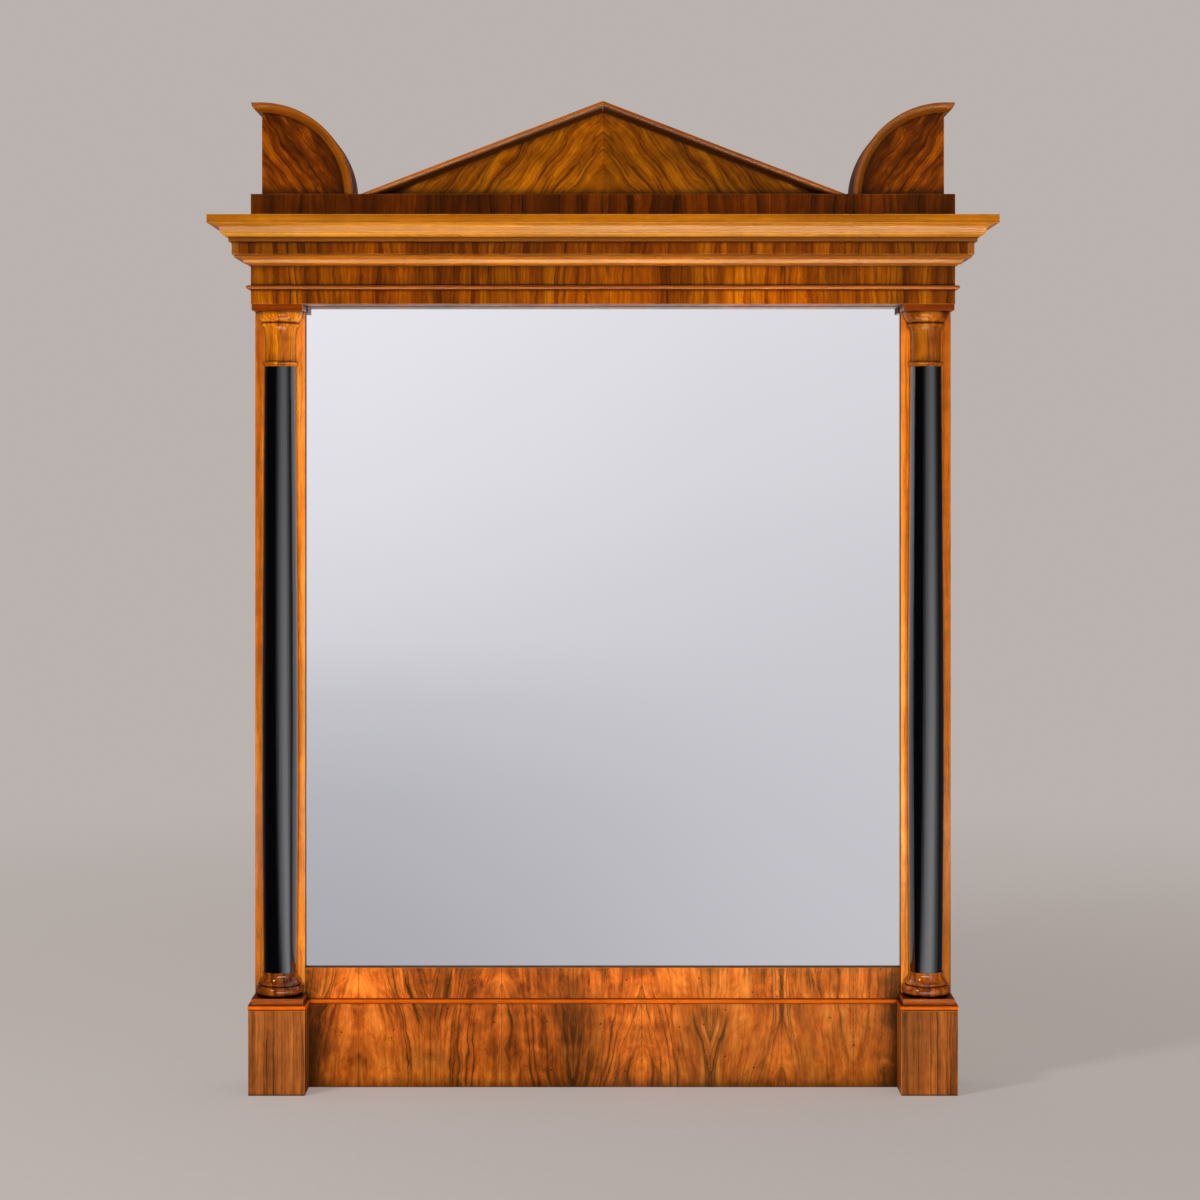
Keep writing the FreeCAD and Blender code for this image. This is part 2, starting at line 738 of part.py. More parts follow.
def side_run(name, corners, level, projection):
    """The same moulding along the right side, mitred in front and square at the wall."""
    body = new_body(name)
    profile = [(corner[0], corner[1], *bend_of(corner, 1)) for corner in corners]
    pad(body, outline(body, "XZ_Plane", name + "_profile", profile), frieze_depth + projection)
    beyond = projection + s.overrun
    mitre = outline(body, "XY_Plane", name + "_mitre", [
        (-s.overrun, s.overrun - frieze_depth),
        (beyond, -(frieze_depth + beyond)),
        (-s.overrun, -(frieze_depth + beyond)),
    ])
    pocket_through(body, mitre)
    return place(body, frame_side, ZERO, level)


def bend_of(corner, side):
    """The share and turn of a corner that starts an arc, seen from one side or the other."""
    return () if len(corner) == 2 else (corner[2], corner[3] * side)


def s_curve(low, high):
    """An S from one (projection, level) place up to another: hollow above and round below."""
    middle = ((low[0] + high[0]) / 2, (low[1] + high[1]) / 2)
    return [(*low, CYMA_SHARE, 1), (*middle, CYMA_SHARE, -1), high]


def entablature():
    """Architrave plank, frieze box, mouldings round three sides, and the cornice board."""
    across = (-frame_side, frame_side)
    behind_frieze = (s.carcass_depth, rail_block_depth)
    upright = (architrave_top, cornice_level)
    keep(block(across, (s.carcass_depth, frieze_depth), (sight_top, architrave_top)), "architrave")
    keep(block(across, (rail_block_depth, frieze_depth), upright), "frieze_board")
    ends = [block(x, behind_frieze, upright)
            for x in ((frame_side - s.frieze_thickness, frame_side),
                      (-frame_side, s.frieze_thickness - frame_side))]
    keep(group(ends), "entablature_ends")

    half = s.bead_height / 2
    bead = [
        (ZERO, ZERO),
        (s.bead_projection - half, ZERO, QUARTER_SHARE, 1),
        (s.bead_projection, half, QUARTER_SHARE, 1),
        (s.bead_projection - half, s.bead_height),
        (ZERO, s.bead_height),
    ]
    keep(front_run("bead_front", bead, architrave_top, s.bead_projection), "frieze_bead_front")
    pair(side_run("bead_side", bead, architrave_top, s.bead_projection), "frieze_bead")

    curve_foot = (s.bed_foot_projection, s.bed_foot_height)
    curve_head = (s.bed_curve_projection, s.bed_foot_height + s.bed_curve_height)
    bed = [
        (ZERO, ZERO),
        (s.bed_foot_projection, ZERO),
        *s_curve(curve_foot, curve_head),
        (s.bed_fillet_projection, curve_head[1]),
        (s.bed_fillet_projection, bed_height),
        (ZERO, bed_height),
    ]
    keep(front_run("bed_front", bed, bed_level, s.bed_fillet_projection), "bed_moulding_front")
    pair(side_run("bed_side", bed, bed_level, s.bed_fillet_projection), "bed_moulding")

    fascia = (fascia_level, crown_level)
    board_side = frame_side + s.fascia_projection - s.side_board_thickness
    front = frieze_depth + s.fascia_projection
    keep(block((-board_side, board_side), (frieze_depth, front), fascia), "fascia_front")
    pair(block((board_side, board_side + s.side_board_thickness), (ZERO, front), fascia), "fascia")
    packing = [block(x, (ZERO, frieze_depth), fascia)
               for x in ((frame_side, board_side), (-board_side, -frame_side))]
    keep(group(packing), "fascia_packing")

    crown_foot = (s.crown_foot_projection, s.crown_fillet_height)
    crown = [
        (ZERO, ZERO),
        (s.crown_fillet_projection, ZERO),
        (s.crown_fillet_projection, s.crown_fillet_height),
        *s_curve(crown_foot, (s.crown_head_projection, crown_height)),
        (ZERO, crown_height),
    ]
    keep(front_run("crown_front", crown, crown_level, s.crown_head_projection),
         "crown_moulding_front")
    pair(side_run("crown_side", crown, crown_level, s.crown_head_projection), "crown_moulding")

    over = frame_side + s.cornice_projection
    keep(block((-over, over), (ZERO, frieze_depth + s.cornice_projection),
               (cornice_level, attic_level)), "cornice_board")


def attic():
    """The attic block with its facing."""
    across = (-frame_side, frame_side)
    levels = (attic_level, crest_level)
    keep(block(across, (ZERO, frieze_depth - s.veneer_thickness), levels), "attic_block")
    keep(block(across, (frieze_depth - s.veneer_thickness, frieze_depth), levels), "attic_veneer")


def crest_corners():
    """Section of the raking and curved mouldings: (drop below the top line, projection)."""
    return [(s.crest_height, ZERO), (ZERO, s.crest_projection)]


def pediment():
    """A triangular board, two raking mouldings mitred at the apex, and blocks behind."""
    half = pediment_half
    board = new_body("pediment_body")
    sketch = outline(board, "XZ_Plane", "pediment_outline", [
        (-half, ZERO), (half, ZERO), (ZERO, s.pediment_height),
    ])
    pad(board, sketch, s.pediment_thickness)
    keep(place(board, ZERO, s.pediment_thickness - board_depth, crest_level), "pediment_board")

    rake = new_body("rake_body")
    length = distance(half, s.pediment_height) + s.overrun * 2
    drop, projection = s.crest_height, s.crest_projection
    section = outline(rake, "YZ_Plane", "rake_profile", [
        (ZERO, ZERO),
        (ZERO, -drop, QUARTER_SHARE, -1),
        (-projection, ZERO),
    ])
    pad(rake, section, length)
    rake.Placement.Rotation = FreeCAD.Rotation(Y_AXIS, 1)
    rake.setExpression("Placement.Rotation.Angle",
                       "atan(%s / %s)" % (s.pediment_height.text, half.text))
    back_off = s.overrun * half / distance(half, s.pediment_height)
    rise_off = s.overrun * s.pediment_height / distance(half, s.pediment_height)
    place(rake, -back_off, -board_depth, crest_level + s.pediment_height + rise_off)
    region = block((ZERO, half), (board_depth, frieze_depth),
                   (crest_level, crest_level + s.pediment_height))
    pair(common(rake, region), "raking_moulding")


def acroteria():
    """Quarter round corner blocks with a curved moulding that returns along the outer side."""
    side = acroterion_side
    radius = s.acroterion_radius
    core = new_body("acroterion_body")
    sketch = outline(core, "XZ_Plane", "acroterion_outline", [
        (ZERO, ZERO),
        (ZERO, radius, QUARTER_SHARE, 1),
        (-radius, ZERO),
    ])
    pad(core, sketch, board_depth)
    pair(place(core, side, ZERO, crest_level), "acroterion")

    arc = new_body("acroterion_moulding_body")
    drop, projection = s.crest_height, s.crest_projection
    profile = [
        (ZERO, radius),
        (ZERO, radius - drop, QUARTER_SHARE, -1),
        (-projection, radius),
    ]
    section = outline(arc, "YZ_Plane", "acroterion_moulding_profile", profile)
    bend = arc.newObject("PartDesign::Revolution", "Bend")
    bend.Profile = section
    bend.ReferenceAxis = (section, ["H_Axis"])
    bend.Angle = 90
    bend.Reversed = True
    nib = pad(arc, outline(arc, "YZ_Plane", "acroterion_nib_profile", profile), projection)
    nib.Reversed = False
    mitre = outline(arc, "XY_Plane", "acroterion_nib_mitre", [
        (-s.overrun, s.overrun),
        (projection + s.overrun, s.overrun),
        (projection + s.overrun, -(projection + s.overrun)),
    ])
    pocket_through(arc, mitre)
    place(arc, side, -board_depth, crest_level)

    lug = new_body("acroterion_return_body")
    end = outline(lug, "XZ_Plane", "acroterion_return_profile", [
        (ZERO, radius - drop, QUARTER_SHARE, 1),
        (projection, radius),
        (ZERO, radius),
    ])
    pad(lug, end, frieze_depth)
    corner = outline(lug, "XY_Plane", "acroterion_return_mitre", [
        (-s.overrun, s.overrun - board_depth),
        (projection + s.overrun, -(frieze_depth + s.overrun)),
        (-s.overrun, -(frieze_depth + s.overrun)),
    ])
    pocket_through(lug, corner)
    place(lug, side, ZERO, crest_level)
    pair(group([arc, lug]), "acroterion_moulding")


def glue_blocks():
    """Blocks behind the frieze board and behind the pediment."""
    half = s.frieze_block_length / 2
    spacing = sight_side * 2 / FRIEZE_BLOCK_COUNT
    blocks = []
    for index in range(FRIEZE_BLOCK_COUNT):
        middle = spacing * index - spacing * (FRIEZE_BLOCK_COUNT - 1) / 2
        blocks.append(block((middle - half, middle + half), (s.carcass_depth, rail_block_depth),
                            (architrave_top, architrave_top + s.frieze_block_height)))

    half = s.pediment_block_length / 2
    spacing = pediment_half * 2 / (PEDIMENT_BLOCK_COUNT + 1)
    back = board_depth - s.pediment_thickness
    for index in range(PEDIMENT_BLOCK_COUNT):
        middle = spacing * index - spacing * (PEDIMENT_BLOCK_COUNT - 1) / 2
        blocks.append(block((middle - half, middle + half),
                            (back - s.pediment_block_size, back),
                            (crest_level, crest_level + s.pediment_block_size)))
    keep(group(blocks), "glue_blocks")


def screw_places():
    """Side and drop below the pivot of each hanger screw."""
    return [(side, drop) for side in (1, -1) for drop in (s.first_screw_drop, s.second_screw_drop)]


def screw_shank(side, drop):
    return rod(hanger_x * side, s.top_rail_setback - s.strap_thickness, pivot_level - drop,
               s.screw_length, s.screw_radius)


def hangers():
    """Strap hangers with rings on the back of the top rail, shown pulled up as on their hooks."""
    half = s.strap_width / 2
    hole = s.screw_radius + s.screw_hole_clearance
    strap_back = s.top_rail_setback - s.strap_thickness
    plate = block((hanger_x - half, hanger_x + half), (strap_back, s.top_rail_setback),
                  (pivot_level - s.strap_length, pivot_level))
    eye = lying_rod(eye_outer, s.strap_width)
    bore = lying_rod(s.wire_radius + s.eye_clearance, s.strap_width + s.overrun)
    holes = [rod(hanger_x, strap_back - s.overrun, pivot_level - drop,
                 s.strap_thickness + s.overrun * 2, hole)
             for drop in (s.first_screw_drop, s.second_screw_drop)]
    pair(cut(joined([plate, eye]), [bore, *holes]), "hanger_strap")

    ring = new_body("ring_body")
    wide, elbow, leg = s.ring_half_width, s.ring_elbow_radius, s.ring_leg_height
    path = outline(ring, "XZ_Plane", "ring_path", [
        (elbow - wide, ZERO),
        (wide - elbow, ZERO, QUARTER_SHARE, 1),
        (wide, elbow),
        (wide, leg, QUARTER_SHARE, 1),
        (ZERO, leg + wide, QUARTER_SHARE, 1),
        (-wide, leg),
        (-wide, elbow, QUARTER_SHARE, 1),
    ])
    section = ring.newObject("Sketcher::SketchObject", "ring_section")
    section.AttachmentSupport = [(origin_plane(ring, "YZ_Plane"), "")]
    section.MapMode = "FlatFace"
    section.addGeometry(Part.Circle(FreeCAD.Vector(0, 0, 0), Z_AXIS, s.wire_radius.value))
    section.addConstraint(Sketcher.Constraint("Coincident", 0, 3, -1, 1))
    thick = section.addConstraint(Sketcher.Constraint("Radius", 0, s.wire_radius.value))
    section.setExpression("Constraints[%d]" % thick, s.wire_radius.text)
    wire = ring.newObject("PartDesign::AdditivePipe", "Wire")
    wire.Profile = section
    wire.Spine = path
    pair(place(ring, hanger_x, -pivot_depth, pivot_level), "hanger_ring")

    screws = []
    for side, drop in screw_places():
        head = rod(hanger_x * side, strap_back - s.screw_head_height, pivot_level - drop,
                   s.screw_head_height, s.screw_head_radius)
        screws.append(joined([screw_shank(side, drop), head]))
    keep(group(screws), "hanger_screws")


def lying_rod(radius, length):
    """A round bar across, centred on the right hand hanger's pivot."""
    bar = doc.addObject("Part::Cylinder", "Bar")
    bar.Placement.Rotation = FreeCAD.Rotation(Y_AXIS, 90)
    bar.setExpression("Radius", radius.text)
    bar.setExpression("Height", length.text)
    return place(bar, hanger_x - length / 2, -pivot_depth, pivot_level)


def write_files():
    """Checks every object, then writes each finished piece to its own file."""
    doc.recompute()
    failed = [item.Label for item in doc.Objects if {"Invalid", "Error"} & set(item.State)]
    for piece in kept:
        if piece.Shape.isNull() or not piece.Shape.isValid() or not piece.Shape.Solids:
            failed.append(piece.Label)
    if failed:
        raise RuntimeError("these pieces failed: %s" % ", ".join(failed))
    os.makedirs("parts", exist_ok=True)
    for piece in kept:
        piece.Shape.exportStep(os.path.join("parts", piece.Label + ".step"))
        print("%-24s %3d solids %12.1f mm3" % (piece.Label, len(piece.Shape.Solids),
                                               piece.Shape.Volume))


stiles_and_rails()
plate_and_boards()
facings()
columns()
entablature()
attic()
pediment()
acroteria()
glue_blocks()
hangers()
write_files()
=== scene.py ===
import math

import bmesh
import bpy
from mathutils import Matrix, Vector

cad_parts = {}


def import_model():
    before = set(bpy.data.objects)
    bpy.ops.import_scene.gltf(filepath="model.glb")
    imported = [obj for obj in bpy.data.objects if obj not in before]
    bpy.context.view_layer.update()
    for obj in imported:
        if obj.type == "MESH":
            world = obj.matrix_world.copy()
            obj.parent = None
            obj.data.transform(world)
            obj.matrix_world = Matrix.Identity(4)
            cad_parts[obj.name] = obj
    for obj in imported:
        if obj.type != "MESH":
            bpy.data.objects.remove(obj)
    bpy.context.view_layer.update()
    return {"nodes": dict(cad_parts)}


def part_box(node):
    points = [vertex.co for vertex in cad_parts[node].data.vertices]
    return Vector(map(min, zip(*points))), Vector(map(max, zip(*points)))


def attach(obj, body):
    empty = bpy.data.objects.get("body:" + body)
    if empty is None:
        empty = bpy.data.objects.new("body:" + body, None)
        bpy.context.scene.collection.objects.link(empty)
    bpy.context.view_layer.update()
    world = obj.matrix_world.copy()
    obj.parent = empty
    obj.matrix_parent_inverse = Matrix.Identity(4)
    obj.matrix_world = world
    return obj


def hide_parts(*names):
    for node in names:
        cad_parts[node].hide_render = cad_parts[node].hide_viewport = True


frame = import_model()
nodes = frame["nodes"]
# The object that shows for each node: the node itself, or the piece that replaces it
shown = dict(nodes)

# The photograph's view: a square of this many pixels, its optical axis, and its focal length in pixels
PHOTO_SIDE = 1200
AXIS_PIXEL = (603, 480)
FOCAL_PIXELS = 2600
CAMERA_PLACE = (0.0, -3.220, 0.742)

# Places on the object, in metres: half widths, levels, the base board's part with painted shade and the
# shafts' axes
SIGHT_SIDE = 0.364
OUTER_SIDE = 0.412
WARM_FOOT = 0.085
BEAD_LEVEL = 0.1055
CROWN_FOOT = 1.0331
CREST_LEVEL = 1.0873
SHADED_SIDE = (0.08, 0.26)
AXIS_X = 0.3934
AXIS_Y = -0.0515
ACROTERION_SIDE = 0.413
# The grain's length for each radian round a corner block
CORNER_LENGTH = 0.1
# The shafts: radii, where the widest one is, by share of the length, and the tenons
SHAFT_FOOT = 0.0202
SHAFT_BELLY = 0.0221
SHAFT_HEAD = 0.0193
BELLY_SHARE = 0.40
TAPER_POWER = 1.35
TENON_LENGTH = 0.015
TENON_RADIUS = 0.006
SHAFT_RINGS = 72
SHAFT_SIDES = 64
BACK_SIDES = 16
# From the pediment's rise and run
PEDIMENT_SLOPE = math.atan2(0.1123, 0.2925)
# Below the line of the pediment: where the painted shadow on its mouldings begins, and where the board
# under them is clear of it again
APEX_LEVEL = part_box("raking_moulding_left")[1][2]
HOLLOW_EDGE = 0.0022
HOLLOW_EDGE_FADE = 0.0056
HOLLOW_FOOT = 0.0105
HOLLOW_FOOT_FADE = 0.002
# A worm hole's own radius and that of its dark rim, as shares of its cell
HOLE_EDGE = (0.026, 0.046)
# Where one tone gives way to the next: sharply, on both sides of a column, and at a seam between leaves
TONE_EDGE = 0.0004
STRIP_BLEND = 0.004
SEAM_LINE = 0.0026
# The base board's leaves: how far the figure fans out by height, from which level, and the seams between
LEAF_FAN = 0.09
FAN_LEVEL = 0.06
SEAM_SHARES = (-0.82, -0.58, -0.34, -0.10, 0.13, 0.36, 0.60, 0.84)

# The warm tints that thin shellac polish gives to what it reflects, on dark and on light wood
POLISH_TINT = (1.0, 0.50, 0.12, 1.0)
PALE_POLISH_TINT = (1.0, 0.66, 0.32, 1.0)
PLAIN = (1.0, 1.0, 1.0, 1.0)


def srgb(red, green, blue):
    """A colour of a photograph, 0 to 255, as linear light."""
    channels = []
    for value in (red, green, blue):
        share = value / 255
        channels.append(share / 12.92 if share <= 0.04045 else ((share + 0.055) / 1.055) ** 2.4)
    return (*channels, 1.0)


# Between these two values lies most of what a noise gives
NOISE_LOW = 0.3
NOISE_HIGH = 0.7


class Graph:
    """The node tree of a new material or world, with short calls for the nodes that it is made of."""

    def __init__(self, name, kind="materials"):
        self.owner = getattr(bpy.data, kind).new(name)
        self.owner.use_nodes = True
        self.tree = self.owner.node_tree
        self.tree.nodes.clear()
        self.sources = self.add("ShaderNodeTexCoord").outputs
        self.place = self.sources["Object"]

    def add(self, kind, *values, **settings):
        """A new node. Its first inputs take the values, and None leaves one as it is."""
        node = self.tree.nodes.new(kind)
        for key, value in settings.items():
            setattr(node, key, value)
        for value, socket in zip(values, node.inputs):
            self.link(value, socket)
        return node

    def link(self, value, socket):
        if isinstance(value, bpy.types.NodeSocket):
            self.tree.links.new(value, socket)
        elif value is not None:
            socket.default_value = value

    def math(self, operation, *values):
        return self.add("ShaderNodeMath", *values, operation=operation).outputs[0]

    def times(self, one, other):
        return self.math("MULTIPLY", one, other)

    def plus(self, one, other):
        return self.math("ADD", one, other)

    def minus(self, one, other):
        return self.math("SUBTRACT", one, other)

    def absolute(self, value):
        return self.math("ABSOLUTE", value)

    def vector(self, operation, one, other):
        return self.add("ShaderNodeVectorMath", one, other, operation=operation).outputs[0]

    def scaled(self, vector, factor):
        return self.add("ShaderNodeVectorMath", vector, None, None, factor, operation="SCALE").outputs[0]

    def length(self, vector):
        return self.add("ShaderNodeVectorMath", vector, operation="LENGTH").outputs[1]

    def drawn(self, place, share):
        """A place with its Z scaled, which draws a figure out along the grain."""
        return self.vector("MULTIPLY", place, (1.0, 1.0, share))

    def split(self, vector):
        return self.add("ShaderNodeSeparateXYZ", vector).outputs[:]

    def join(self, x, y, z):
        return self.add("ShaderNodeCombineXYZ", x, y, z).outputs[0]

    def facing(self):
        """The direction that the surface faces, as its three parts."""
        return self.split(self.add("ShaderNodeNewGeometry").outputs["True Normal"])

    def noise(self, vector, scale, detail=2.0, roughness=0.5, distortion=0.0, output="Fac"):
        node = self.add("ShaderNodeTexNoise", vector, None, scale, detail, roughness)
        self.link(distortion, node.inputs["Distortion"])
        return node.outputs[output]

    def noise_vector(self, vector, scale, detail=1.0):
        return self.vector("SUBTRACT", self.noise(vector, scale, detail, output="Color"), (0.5, 0.5, 0.5))

    def cells(self, vector, scale, dimensions="3D"):
        """The distance to the middle of the nearest of scattered cells, and each cell's own numbers."""
        node = self.add("ShaderNodeTexVoronoi", vector, None, scale, voronoi_dimensions=dimensions)
        return node.outputs["Distance"], self.split(node.outputs["Color"])

    def pick(self, number):
        """A random number of its own for each whole number."""
        whole = self.math("FLOOR", number)
        return self.add("ShaderNodeTexWhiteNoise", None, whole, noise_dimensions="1D").outputs["Value"]

    def span(self, value, low, high, to_low=0.0, to_high=1.0, smooth=True):
        """Maps low..high to to_low..to_high and holds the ends."""
        easing = "SMOOTHSTEP" if smooth else "LINEAR"
        node = self.add("ShaderNodeMapRange", value, low, high, to_low, to_high, interpolation_type=easing)
        return node.outputs[0]

    def vary(self, value, least, most, smooth=True):
        """Spreads the usual range of a noise over least..most."""
        return self.span(value, NOISE_LOW, NOISE_HIGH, least, most, smooth)

    def mix(self, factor, one, other, blend="MIX"):
        node = self.add("ShaderNodeMix", factor, data_type="RGBA", blend_type=blend)
        self.link(one, node.inputs[6])
        self.link(other, node.inputs[7])
        return node.outputs[2]

    def tint(self, colour, factor):
        return self.mix(1.0, colour, factor, "MULTIPLY")

    def ramp(self, value, stops, easing="LINEAR"):
        node = self.add("ShaderNodeValToRGB", value)
        node.color_ramp.interpolation = easing
        elements = node.color_ramp.elements
        for index, (position, colour) in enumerate(stops):
            element = elements[index] if index < 2 else elements.new(position)
            element.position = position
            element.color = colour
        return node.outputs[0]

    def greys(self, value, pairs, cast=0):
        """A ramp of greys, with a little more blue by a cast."""
        stops = [(place, srgb(level, level, min(level + cast, 255))) for place, level in pairs]
        return self.ramp(value, stops)

    def bump(self, height, strength, distance, below=None):
        node = self.add("ShaderNodeBump", strength, distance)
        self.link(height, node.inputs["Height"])
        self.link(below, node.inputs["Normal"])
        return node.outputs[0]

    def finish(self, colour, roughness, normal, **constants):
        """Closes the tree with a principled shader; constants are its own uniform sockets."""
        shader = self.add("ShaderNodeBsdfPrincipled")
        for key, value in (("Base Color", colour), ("Roughness", roughness), ("Normal", normal),
                           ("Coat Normal", normal)):
            self.link(value, shader.inputs[key])
        for key, value in constants.items():
            shader.inputs[key.replace("_", " ").title().replace("Ior", "IOR")].default_value = value
        return self.close(shader.outputs[0])

    def close(self, shader, kind="ShaderNodeOutputMaterial"):
        """Ends the tree at an output node."""
        self.add(kind, shader)
        return self.owner


def along_axis(graph, grain):
    """Coordinates with the grain on Z, from the piece's own place and the direction of its grain."""
    x, y, z = graph.split(graph.place)
    if grain == "x":
        return graph.join(z, y, x)
    if grain == "y":
        return graph.join(x, z, y)
    return graph.join(x, y, z)


def slanted(graph, angle, mirrored):
    """Grain in the plane of the front, turned by an angle from the X axis."""
    x, y, z = graph.split(graph.place)
    if mirrored:
        x = graph.absolute(x)
    cosine, sine = math.cos(angle), math.sin(angle)
    along = graph.plus(graph.times(x, cosine), graph.times(z, sine))
    across = graph.minus(graph.times(z, cosine), graph.times(x, sine))
    return graph.join(across, y, along)


def round_corner(graph):
    """Grain that follows the curve of the corner blocks' mouldings."""
    x, y, z = graph.split(graph.place)
    side = graph.minus(ACROTERION_SIDE, graph.absolute(x))
    up = graph.minus(z, CREST_LEVEL)
    radius = graph.length(graph.join(side, 0.0, up))
    turn = graph.times(graph.math("ARCTAN2", up, side), CORNER_LENGTH)
    return graph.join(radius, y, turn)


def matched_leaves(graph):
    """Coordinates that turn back at each seam between the veneer leaves, with a figure that fans out
    upwards from every other seam, and a mask of the seams."""
    x, y, z = graph.split(graph.place)
    share = graph.math("DIVIDE", x, SIGHT_SIDE)
    seams = (-1.0, *SEAM_SHARES, 1.0)
    folded = [0.5]
    direction = 1
    for low, high in zip(seams, seams[1:]):
        folded.append(folded[-1] + direction * (high - low) / 2)
        direction = -direction
    level = graph.span(share, -1.0, 1.0, smooth=False)
    curve = graph.add("ShaderNodeFloatCurve", None, level)
    points = curve.mapping.curves[0].points
    while len(points) < len(seams):
        points.new(0.5, 0.5)
    for point, seam, value in zip(points, seams, folded):
        point.location = ((seam + 1) / 2, value)
        point.handle_type = "VECTOR"
    curve.mapping.update()
    across = graph.times(curve.outputs[0], SIGHT_SIDE * 2)
    spread = graph.noise(graph.place, 7.0, 1.0)
    spread = graph.vary(spread, -LEAF_FAN * 0.5, LEAF_FAN * 2.5, smooth=False)
    across = graph.minus(across, graph.times(graph.minus(z, FAN_LEVEL), spread))
    nearest = 1.0
    for seam in SEAM_SHARES:
        gap = graph.absolute(graph.minus(share, seam))
        nearest = graph.math("MINIMUM", gap, nearest)
    line = graph.span(nearest, 0.0, SEAM_LINE, 1.0, 0.0)
    depth = graph.plus(y, graph.times(x, 0.12))
    return graph.join(across, depth, z), line


def growth_lines(graph, place, look, rate, warp, width):
    """Dark lines where the growth rings meet the surface, each with its own strength, a fading shade on
    one side of each, and a number for each ring."""
    across, depth, along = graph.split(place)
    long = graph.drawn(place, look["pull"])
    field = graph.noise(long, look["field_scale"], 2.0, 0.45)
    lean = graph.plus(across, graph.times(depth, 0.35))
    phase = graph.plus(graph.times(lean, rate), graph.times(field, warp))
    share = graph.math("FRACT", phase)
    pick = graph.pick(phase)
    strength = graph.span(pick, 0.2, 0.8, 0.0, 1.0, smooth=False)
    swell = graph.noise(graph.drawn(place, 0.4), 70.0, 2.0)
    reach = graph.vary(swell, width * 0.35, width * 1.8)
    gap = graph.absolute(graph.minus(share, 0.5))
    line = graph.span(gap, 0.0, reach, 1.0, 0.0)
    after = graph.math("GREATER_THAN", share, 0.5)
    shade = graph.times(graph.span(share, 0.5, 0.95, 1.0, 0.0), after)
    line = graph.times(line, strength)
    return line, graph.times(shade, strength), pick


def ink_lines(graph, place, rate, sway, width):
    """Sparse, nearly black lines along the grain, unevenly spaced, that swell, fade and come back."""
    across, depth, along = graph.split(place)
    long = graph.drawn(place, 0.35)
    bend = graph.minus(graph.noise(long, 16.0, 2.0), 0.5)
    crinkle = graph.minus(graph.noise(place, 130.0, 2.0, 0.6), 0.5)
    bend = graph.times(bend, sway)
    shift = graph.plus(bend, graph.times(crinkle, sway * 0.07))
    phase = graph.times(graph.plus(across, shift), rate)
    pick = graph.pick(phase)
    middle = graph.span(pick, 0.0, 1.0, 0.2, 0.8, smooth=False)
    gap = graph.absolute(graph.minus(graph.math("FRACT", phase), middle))
    swell = graph.noise(long, 45.0, 2.0)
    reach = graph.span(swell, 0.35, 0.68, width * rate * 0.25, width * rate * 1.6)
    line = graph.span(gap, 0.0, reach, 1.0, 0.0)
    halo = graph.span(gap, 0.0, graph.times(reach, 4.5), 0.38, 0.0)
    line = graph.math("MAXIMUM", line, halo)
    kept = graph.span(graph.noise(long, 24.0, 1.0), 0.40, 0.56, 0.1, 1.0)
    return graph.times(line, kept)


